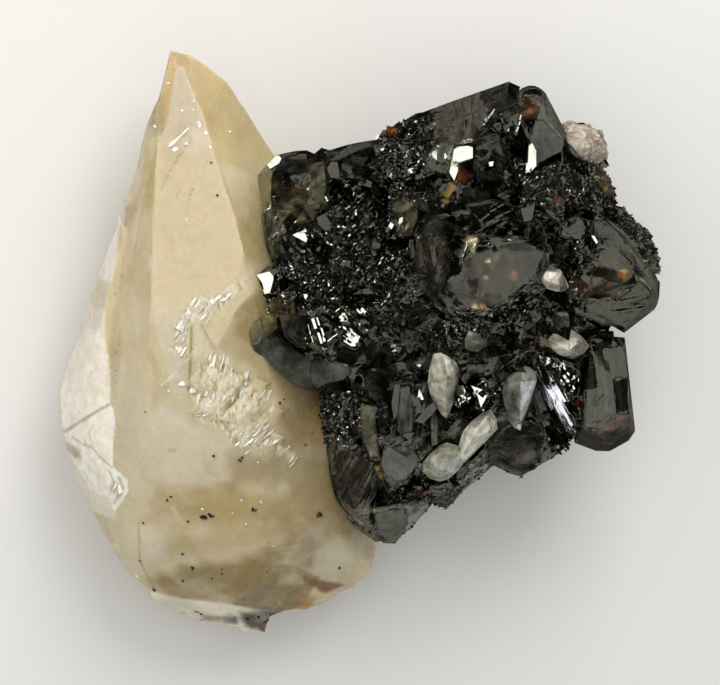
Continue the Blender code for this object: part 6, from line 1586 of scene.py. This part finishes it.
def broken_cells(outline, width, length, angle, seed, lean, scatter, fullness, share):
    """Long narrow cells that fill a share of an outline: polygons and rises."""
    draw = random.Random(seed)
    cos, sin = math.cos(math.radians(angle)), math.sin(math.radians(angle))

    def to_grid(point):
        return Vector(((point[0] * -sin + point[1] * cos) / width,
                       (point[0] * cos + point[1] * sin) / length))

    def from_grid(point):
        across, along = point.x * width, point.y * length
        return Vector((along * cos - across * sin, along * sin + across * cos))

    edge = [to_grid(point) for point in outline]
    low = [math.floor(min(point[axis] for point in edge)) - 1 for axis in (0, 1)]
    high = [math.ceil(max(point[axis] for point in edge)) + 1 for axis in (0, 1)]
    seeds = {}
    for row in range(low[0], high[0] + 1):
        for column in range(low[1], high[1] + 1):
            seeds[row, column] = Vector((row + draw.uniform(-0.48, 0.48),
                                         column + draw.uniform(-0.48, 0.48)))
    cells = []
    for (row, column), seed_point in seeds.items():
        place = from_grid(seed_point)
        if depth_inside(np.array([[place.x, place.y, 0.0]]), outline)[0] < 0:
            continue
        if draw.random() > share:
            continue
        polygon = [seed_point + Vector(corner) for corner in ((-2, -2), (2, -2), (2, 2), (-2, 2))]
        for row_step in (-2, -1, 0, 1, 2):
            for column_step in (-2, -1, 0, 1, 2):
                other = seeds.get((row + row_step, column + column_step))
                if other is not None and other != seed_point and len(polygon) > 2:
                    polygon = clipped(polygon, (seed_point + other) / 2, other - seed_point)
        if len(polygon) < 3:
            continue
        centre = sum(polygon, Vector((0, 0))) / len(polygon)
        size = fullness * draw.uniform(0.85, 1.15)
        corners = [from_grid(centre.lerp(point, size)) for point in polygon]
        rise = (lean[0] + draw.gauss(0, scatter), lean[1] + draw.gauss(0, scatter))
        cells.append(([tuple(corner) for corner in corners], rise))
    return cells


def flake_material():
    material, tree, shader = new_material("broken_calcite")
    place = place_of(tree)
    cloud = ramp(tree, noise_of(tree, place, 700, 3), 0.35, 0.65)
    colour = blend_colour(tree, cloud, srgb(222, 210, 184), srgb(243, 236, 220))
    feed(tree, shader, Base_Color=colour, Roughness=0.22, IOR=CALCITE_IOR,
         Subsurface_Weight=0.5, Subsurface_Radius=(1.0, 0.85, 0.6),
         Subsurface_Scale=0.6 * MM, Transmission_Weight=0.25)
    normal = small_faces(tree, place, [(0.4 * MM, 0.12)])
    bump(tree, shader, noise_of(tree, place, 2500, 3), 0.15, 0.1 * MM, normal)
    return material


BROKEN_SHARDS = [
    (BROKEN_UPPER, 0.26, 1.5, 58, 5),
    ([(-18.9, -0.8), (-16.2, -1.8), (-14, -4.3), (-12.2, -5.8), (-13.4, -6.8), (-17, -6.6),
     (-20.3, -7.4), (-20.9, -5.9), (-20.4, -3.4)], 0.26, 1.5, 76, 6),
    ([(-20.2, -7), (-18, -7), (-17.6, -8.2), (-18.6, -9.4), (-20.4, -9.2)], 0.3, 0.9, 30, 7),
    ([(-12.4, -5.8), (-10.8, -5.8), (-10.3, -8.6), (-12, -8.4)], 0.26, 1.2, 60, 8),
    ([(-13.6, -8.9), (-11.2, -9.2), (-10, -12.4), (-7.8, -13.8), (-8, -15.2), (-10.2, -14.3),
     (-14, -13.2), (-16.3, -12), (-16.8, -10.6), (-15, -10.2)], 0.28, 1.2, 46, 9),
    ([(-30.6, -16), (-29.8, -16.4), (-28.9, -17.1), (-28.7, -18.6), (-29.6, -20.1), (-30.5, -21),
     (-31.2, -19.4), (-31.2, -17.4)], 0.34, 1.6, 62, 10),
]


def make_calcite_flakes(skin):
    """Bright blades, and shards that all run about the same way over the broken zones."""
    faces = list(CALCITE_FLAKES)
    for outline, width, length, angle, seed in BROKEN_SHARDS:
        faces += broken_cells(outline, width, length, angle, seed, (0.18, -0.18), 0.12, 1.1, 0.22)
    finished("calcite_shards", raised_faces([skin], faces, 0.03, 0.5), flake_material())


# Small pale calcites and the sugary knob

SMALL_CALCITE_COLOURS = {
    "upright_calcite": (186, 185, 172), "pointed_calcite": (128, 131, 120),
    "joined_calcites": (200, 200, 184), "bright_calcite": (236, 230, 218),
    "notched_calcite": (158, 156, 142), "greyish_calcite": (104, 104, 94),
    "long_calcite": (60, 58, 46)}
SMALL_CALCITE_TONES = [
    ([(9.25, -1.4), (10.2, -1.4), (10.9, -2.3), (11.85, -4.1), (10.5, -4.8), (8.7, -5.1), (9, -3.4)],
     (166, 160, 140), 0.1, 0.9),
    ([(9.6, -1.4), (10.2, -1.4), (10.8, -2.6), (10.4, -4.2), (9.4, -3.4)], (172, 170, 156), 0.3, 0.8),
    ([(10.7, -1.9), (11.3, -2.1), (12, -3.6), (11.8, -4.4), (11, -4), (10.8, -2.8)], (238, 234, 222),
     0.1, 1),
    ([(11.35, -2), (12.7, -3.2), (12.6, -4.7), (12.2, -6.8), (11.7, -7), (12.06, -4.2)],
     (146, 144, 130), 0.1, 0.9),
    ([(11.4, -4.6), (12.1, -4.6), (12, -6.2), (11.4, -6.2)], (206, 204, 190), 0.2, 0.8),
    ([(10.2, -6.9), (11.4, -6.9), (11.2, -8.4), (10.6, -8.6)], (140, 137, 122), 0.3, 0.8),
    ([(10, -5.6), (11, -5.4), (11.3, -8), (10.6, -8.6)], (206, 204, 190), 0.4, 0.8),
    ([(10.4, -8.8), (11.2, -8.8), (11, -9.8), (10.8, -9.8)], (176, 162, 112), 0.25, 0.8),
    ([(9.2, -4.5), (9.4, -4.7), (9.3, -5)], (70, 66, 54), 0.15, 0.8),
    ([(18.2, -5.9), (19.2, -4), (20.3, -3.6), (20.2, -9.7), (19.4, -10.6), (18.4, -8.4)],
     (116, 119, 106), 0.1, 0.9),
    ([(18.9, -5.6), (20, -5.4), (20, -8.9), (19, -8.6)], (62, 62, 52), 0.4, 0.9),
    ([(20.35, -2.7), (22.4, -2.8), (22.3, -4.7), (20.3, -4.75)], (154, 157, 150), 0.08, 1),
    ([(20.2, -4.8), (22.4, -4.7), (20.4, -9.6), (20.1, -9.8)], (222, 228, 228), 0.06, 1),
    ([(19.7, -10.2), (20.2, -10), (20.3, -11.2), (19.9, -11.2)], (240, 240, 236), 0.1, 1),
    ([(12.5, -11.6), (15.1, -8.9), (16.7, -8), (16.8, -9.4), (13.9, -12.9), (12.6, -13.6)],
     (196, 193, 178), 0.12, 0.9),
    ([(16.6, -9.3), (17.5, -10.2), (15.6, -12.9), (12.6, -14.9), (13.9, -12.9)], (230, 227, 214), 0.12,
     0.9),
    ([(13.2, -12.4), (13.5, -12.7), (13.1, -14.3), (12.7, -14.2)], (240, 238, 228), 0.1, 0.9),
    ([(15.2, -9.6), (16.4, -9), (16.2, -10.6), (15.2, -11.2)], (180, 177, 162), 0.4, 0.7),
    ([(9.3, -13.3), (10.4, -12.5), (12.4, -12.7), (12.8, -13.4), (12.1, -14.2), (10.8, -15),
     (9.8, -15.2)], (150, 150, 130), 0.1, 0.9),
    ([(9.8, -15.2), (12.1, -14.2), (13.4, -14.6), (11.2, -17.4), (10.2, -17.6), (9.6, -16.2)],
     (176, 186, 174), 0.1, 0.9),
    ([(7.8, -15.2), (9.3, -13.4), (9.8, -15.2), (9.5, -16.6), (8.4, -17)], (200, 200, 180), 0.1, 0.9),
    ([(8.3, -14.9), (8.9, -14.6), (9, -15.8), (8.4, -15.6)], (116, 114, 100), 0.25, 0.8),
    ([(22.2, 9.5), (25.3, 9.2), (24, 8.5)], (212, 203, 192), 0.08, 0.9),
    ([(23.2, 8.6), (24, 8.5), (25.2, 7.8), (24.6, 6.8), (23.6, 7)], (206, 196, 184), 0.1, 0.9),
    ([(23.6, 8), (23.9, 8), (23.9, 7.7), (23.6, 7.7)], (130, 96, 84), 0.15, 0.8),
    ([(25.3, 8.8), (26.5, 6.9), (26.3, 6.2), (25, 6.4), (24.8, 7.9)], (112, 106, 100), 0.1, 0.9),
    ([(25.5, 8.3), (25.7, 8.3), (26.1, 7), (25.9, 6.9)], (240, 236, 228), 0.06, 0.9),
    ([(26.3, 1.8), (27.4, 0.9), (27.5, 0.2), (26.8, -0.4), (26.2, 0.2)], (160, 158, 148), 0.2, 0.8),
    ([(24.2, -0.4), (26, -0.2), (26.4, -1.5), (25, -1.9)], (208, 206, 194), 0.15, 0.9),
    ([(24.6, 1.9), (26.2, 1.4), (26.4, 0.2), (25, 0.4)], (112, 110, 98), 0.3, 0.8),
    ([(26.9, 0.1), (27.6, 0.6), (28.9, -0.6), (28, -1.4), (26.7, -1.2)], (136, 134, 122), 0.1, 0.9),
    ([(23.3, 0.6), (24.6, 1.3), (24.8, 0.2), (23.9, -0.8)], (176, 172, 150), 0.15, 0.9),
    ([(24.6, 3.8), (25.8, 4.1), (26.1, 3.4), (25, 3.3)], (126, 120, 110), 0.15, 0.8),
    ([(24.9, 1.8), (25.5, 1.8), (25.4, 2.4), (25, 2.4)], (130, 108, 88), 0.15, 0.7),
    ([(13.4, 1.6), (15.2, 1.4), (14.6, 0.9), (13.5, 1)], (150, 150, 142), 0.15, 0.7),
]


def pale_calcite_material():
    """Cloudy calcite with pale cracks and patches of one tone."""
    material, tree, shader = new_material("pale_calcite")
    place = place_of(tree)
    cloud = ramp(tree, noise_of(tree, place, 800, 5, 0.62), 0.34, 0.66, 0.74, 1.22)
    streak = add_node(tree, "ShaderNodeTexVoronoi",
                      {"feature": "DISTANCE_TO_EDGE"}, Vector=place, Scale=900)
    cloud = combine(tree, "MULTIPLY", cloud, ramp(tree, streak.outputs["Distance"], 0.0, 0.05, 1.15,
                                                  1.0))
    cells = add_node(tree, "ShaderNodeTexVoronoi", Vector=place, Scale=800)
    tone = add_node(tree, "ShaderNodeSeparateColor", Color=cells.outputs["Color"]).outputs[0]
    cloud = combine(tree, "MULTIPLY", cloud, ramp(tree, tone, 0.2, 0.8, 0.8, 1.14))
    ridge = combine(tree, "SUBTRACT", noise_of(tree, place, 1500, 4, 0.6, 0.3), 0.5)
    ridge = combine(tree, "ABSOLUTE", ridge, 0.0)
    cloud = combine(tree, "MULTIPLY", cloud, ramp(tree, ridge, 0.0, 0.02, 1.2, 1.0))
    colour = vector_math(tree, "SCALE", attribute(tree, "tint", "Color"), cloud)
    rough = ramp(tree, noise_of(tree, place, 900, 3), 0.3, 0.7, 0.06, 0.2)
    feed(tree, shader, Base_Color=colour, Roughness=rough, IOR=CALCITE_IOR,
         Subsurface_Weight=0.12, Subsurface_Radius=(1.0, 0.95, 0.85),
         Subsurface_Scale=0.4 * MM, Transmission_Weight=0.15)
    normal = small_faces(tree, place, [(1.25 * MM, 0.3), (0.5 * MM, 0.14)])
    bump(tree, shader, noise_of(tree, place, 1500, 4, 0.6), 0.15, 0.1 * MM, normal)
    return material


def make_small_calcites():
    material = pale_calcite_material()
    for node, colour in SMALL_CALCITE_COLOURS.items():
        shape = merged_copy(node)
        split_long_edges(shape, SMALL_CALCITE_EDGE)
        piece = finished(node + "_crystal", shape, material, node)
        points = places_of(piece.data)
        ragged = waves(points, 0.5, 17) - 0.5
        store_colour(piece.data, "tint",
                     layered_colours(points, colour, SMALL_CALCITE_TONES, [], ragged))


def knob_material():
    material, tree, shader = new_material("sugary_calcite")
    place = place_of(tree)
    cloud = ramp(tree, noise_of(tree, place, 420, 4, 0.6, 0.5), 0.4, 0.65)
    colour = blend_colour(tree, cloud, srgb(164, 148, 132), srgb(214, 208, 194))
    speck = ramp(tree, noise_of(tree, place, 1500, 4, 0.65), 0.38, 0.68, 0.7, 1.3)
    feed(tree, shader, Base_Color=vector_math(tree, "SCALE", colour, speck), Roughness=0.22,
         Subsurface_Weight=0.4, Subsurface_Scale=1.0 * MM)
    bump(tree, shader, noise_of(tree, place, 1700, 5, 0.7), 0.6, 0.25 * MM)
    return material


def make_knob():
    shape = merged_copy("pale_calcite_knob")
    split_long_edges(shape, KNOB_EDGE)
    for number in range(2):
        bmesh.ops.smooth_vert(shape, verts=shape.verts, factor=0.5, use_axis_x=True,
                              use_axis_y=True, use_axis_z=True)
    shape.normal_update()
    points = np.array([vert.co / MM for vert in shape.verts])
    lift = (waves(points, 1.1, 21) - 0.5) * 0.6 + (waves(points, 0.45, 22) - 0.5) * 0.25
    for vert, amount in zip(shape.verts, lift):
        vert.co += vert.normal * float(amount) * MM
    finished("sugary_calcite_knob", shape, knob_material(),
             "pale_calcite_knob")


# Black grains on the calcite: x, y, length, width

GRAINS = [
    (-23.9, -19.6, 0.5, 0.3), (-23.4, -19.2, 0.3, 0.5), (-19.3, -21.7, 1, 0.6),
    (-18.5, -21.5, 0.9, 0.6), (-13.06, -20.75, 0.7, 0.45), (-4.9, -21.5, 1, 0.95),
    (-20.8, -28.25, 0.85, 0.8), (-26.9, -22.5, 0.4, 0.3), (-21.3, -22.3, 0.4, 0.3),
    (-22, -26.4, 0.45, 0.35), (-17.1, -28.3, 0.25, 0.25), (-17.1, -28.9, 0.3, 0.25),
    (-18.35, -29.5, 0.3, 0.25), (-22, -29.8, 0.4, 0.3), (-27.4, -27.3, 0.3, 0.25),
    (-25.6, -31, 0.6, 0.45), (-2.4, -28.2, 0.5, 0.35), (-18.4, 22.5, 0.35, 0.3),
    (-17.6, 18.4, 0.4, 0.35), (-26.6, -8.6, 0.25, 0.25), (-9.8, -7.5, 0.4, 0.4), (-9.3, -7, 0.25, 0.25),
    (-13.3, -6.5, 0.3, 0.2), (-18.06, -14.1, 0.4, 0.4), (-14.8, -14.6, 0.6, 0.4),
    (-14.5, -14.3, 0.4, 0.4), (-5.8, -11.25, 0.25, 0.2), (-6.6, -12.75, 0.3, 0.25),
    (-20.3, -33.7, 0.6, 0.3), (-19.8, -34, 0.3, 0.5), (-14, -34.6, 0.7, 0.5), (-12.6, -34.4, 0.8, 0.5),
    (-11.6, -35, 0.6, 0.6),
]


def rough_lump(shape, place, size, draw, squash=0.45):
    """A small rough grain sunk into the surface."""
    made = bmesh.ops.create_icosphere(shape, subdivisions=2, radius=1.0)
    turn = draw.uniform(0, math.pi)
    for vert in made["verts"]:
        reach = draw.uniform(0.72, 1.1)
        x = vert.co.x * size[0] / 2 * reach
        y = vert.co.y * size[1] / 2 * reach
        vert.co = Vector((
            place[0] + x * math.cos(turn) - y * math.sin(turn),
            place[1] + x * math.sin(turn) + y * math.cos(turn),
            place[2] + vert.co.z * min(size) * squash * reach)) * MM


def make_grains(calcite_skin):
    draw = random.Random(12)
    shape = bmesh.new()
    for x, y, length, width in GRAINS:
        ground = height_at(calcite_skin, x, y)
        if ground is not None and length < 0.55:
            rough_lump(shape, (x, y, ground + 0.02), (length, width), draw)
        elif ground is not None:
            for part in range(5):
                place = (x + draw.uniform(-0.36, 0.36) * length,
                         y + draw.uniform(-0.36, 0.36) * width, ground + 0.02)
                share = draw.uniform(0.3, 0.7)
                rough_lump(shape, place, (length * share, width * share), draw)
    material, tree, shader = new_material("black_grain")
    place = place_of(tree)
    colour = blend_colour(tree, ramp(tree, noise_of(tree, place, 2200), 0.4, 0.7),
                          srgb(18, 18, 16), srgb(70, 62, 48))
    feed(tree, shader, Base_Color=colour, Roughness=0.4)
    finished("black_grains", shape, material)


# Floor, light and camera

def make_floor():
    half = 2.5
    shape = bmesh.new()
    corners = [shape.verts.new((x, y, -0.05 * MM))
               for x, y in ((-half, -half), (half, -half), (half, half), (-half, half))]
    shape.faces.new(corners)
    floor = in_scene("floor", mesh_of(shape, "floor"))
    material, tree, shader = new_material("pale_paper")
    place = place_of(tree)
    parts = add_node(tree, "ShaderNodeSeparateXYZ", Vector=place)
    # The paper is painted lighter towards the upper left and darker towards the lower right: a painted
    # falloff of light across the floor.
    slope = combine(tree, "SUBTRACT", combine(tree, "MULTIPLY", parts.outputs["Y"], 0.75),
                    combine(tree, "MULTIPLY", parts.outputs["X"], 0.5))
    painted_falloff = ramp(tree, slope, -60 * MM, 52 * MM)
    paper = blend_colour(tree, painted_falloff, srgb(221, 222, 223), srgb(241, 239, 238))
    colour = blend_colour(tree, ramp(tree, noise_of(tree, place, 30, 3), 0.3, 0.7, 0.0, 0.03),
                          paper, srgb(225, 222, 215))
    feed(tree, shader, Base_Color=colour, Roughness=0.9, Specular_IOR_Level=0.1)
    floor.data.materials.append(material)
    floor.visible_glossy = False
    floor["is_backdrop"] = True
    return floor


def area_lamp(name, direction, distance, size, radiance, colour=(1.0, 1.0, 1.0)):
    """A square lamp that faces the specimen, with the brightness that a mirror would show."""
    lamp = bpy.data.lights.new(name, "AREA")
    lamp.shape = "SQUARE"
    lamp.size = size
    lamp.energy = radiance * math.pi * size * size
    lamp.color = colour
    item = in_scene(name, lamp)
    item.location = direction.normalized() * distance
    item.rotation_euler = (-item.location).to_track_quat("-Z", "Y").to_euler()
    item.visible_camera = False
    return item


def group_of(name, items):
    group = bpy.data.collections.new(name)
    for item in items:
        group.objects.link(item)
    return group


def make_lamps(floor, calcite):
    """A big soft lamp, a window for the glints, and the floor's own lamp and fill."""
    soft = area_lamp("soft_lamp", SOFT_DIRECTION, 0.8, 0.6, SOFT_LEVEL, WARM_WHITE)
    soft.visible_glossy = False
    soft.light_linking.receiver_collection = group_of("lit_by_soft_lamp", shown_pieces())
    above = area_lamp("floor_lamp", FLOOR_DIRECTION, 0.8, 0.45, FLOOR_LEVEL, WARM_WHITE)
    above.light_linking.receiver_collection = group_of("lit_by_floor_lamp", [floor])
    window = area_lamp("window_lamp", WINDOW_DIRECTION, 0.7, 0.3, WINDOW_LEVEL)
    shining = [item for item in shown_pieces() if item is not calcite]
    window.light_linking.receiver_collection = group_of("lit_by_window", shining)
    fill = bpy.data.lights.new("floor_fill", "SUN")
    fill.energy = FILL_LEVEL
    fill.angle = 1.0
    item = in_scene("floor_fill", fill)
    item.light_linking.receiver_collection = group_of("lit_by_fill", [floor])
    item.light_linking.blocker_collection = group_of("shades_fill", [floor])


def make_world():
    """Bright straight overhead, dark around that, and patchy grey towards the paper."""
    world = bpy.data.worlds.new("studio")
    bpy.context.scene.world = world
    world.use_nodes = True
    tree = world.node_tree
    place = add_node(tree, "ShaderNodeTexCoord").outputs["Generated"]
    parts = add_node(tree, "ShaderNodeSeparateXYZ", Vector=place)
    overhead = ramp(tree, parts.outputs["Z"], 0.93, 0.965, 0.0, OVERHEAD_LEVEL)
    overhead = combine(tree, "MULTIPLY", overhead,
                       ramp(tree, noise_of(tree, place, 9, 2), 0.35, 0.65, 0.72, 1.22))
    sides = ramp(tree, parts.outputs["Z"], 0.3, 0.86, SIDE_LEVEL, 0.006)
    table = ramp(tree, parts.outputs["Y"], -0.9, -0.3, TABLE_LEVEL, 0.0)
    patches = ramp(tree, noise_of(tree, place, 3.4, 3), 0.4, 0.66, 0.0, 1.8)
    room = combine(tree, "MULTIPLY", combine(tree, "ADD", sides, table), patches)
    light = combine(tree, "MAXIMUM", overhead, room)
    path = add_node(tree, "ShaderNodeLightPath").outputs
    for kind, level in (("Is Diffuse Ray", AMBIENT_LEVEL), ("Is Camera Ray", 0.8)):
        strength = add_node(tree, "ShaderNodeMix", {"data_type": "FLOAT"})
        plug(tree, strength, 0, path[kind])
        plug(tree, strength, 2, light)
        strength.inputs[3].default_value = level
        light = strength.outputs[0]
    back = tree.nodes["Background"]
    back.inputs["Color"].default_value = (1.0, 0.99, 0.93, 1)
    tree.links.new(light, back.inputs["Strength"])


FRAME_WIDTH = 90 * MM
FOCUS_HEIGHT = 20 * MM
CAMERA_DISTANCE = 2.0
SENSOR = 36.0


def make_camera():
    camera = bpy.data.cameras.new("camera")
    camera.sensor_width = SENSOR
    camera.lens = SENSOR * CAMERA_DISTANCE / FRAME_WIDTH
    camera.clip_end = 20.0
    item = in_scene("camera", camera)
    item.location = (0.19 * MM, 0.06 * MM, FOCUS_HEIGHT + CAMERA_DISTANCE)
    bpy.context.scene.camera = item


def main():
    skins = [surface_of(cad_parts[node].data) for node in ("sphalerite_cluster",
                                                                 "calcite_crystal")]
    calcite = make_calcite()
    sphalerite = make_sphalerite()
    make_crystal_faces(skins)
    make_curved_blades(skins)
    make_filling_crystals()
    make_small_crystals(sphalerite, skins[0])
    calcite_top = surface_of(calcite.data)
    make_calcite_flakes(calcite_top)
    make_small_calcites()
    make_knob()
    make_grains(calcite_top)
    floor = make_floor()
    make_lamps(floor, calcite)
    make_world()
    make_camera()
    bpy.context.scene.view_settings.view_transform = "Standard"


main()
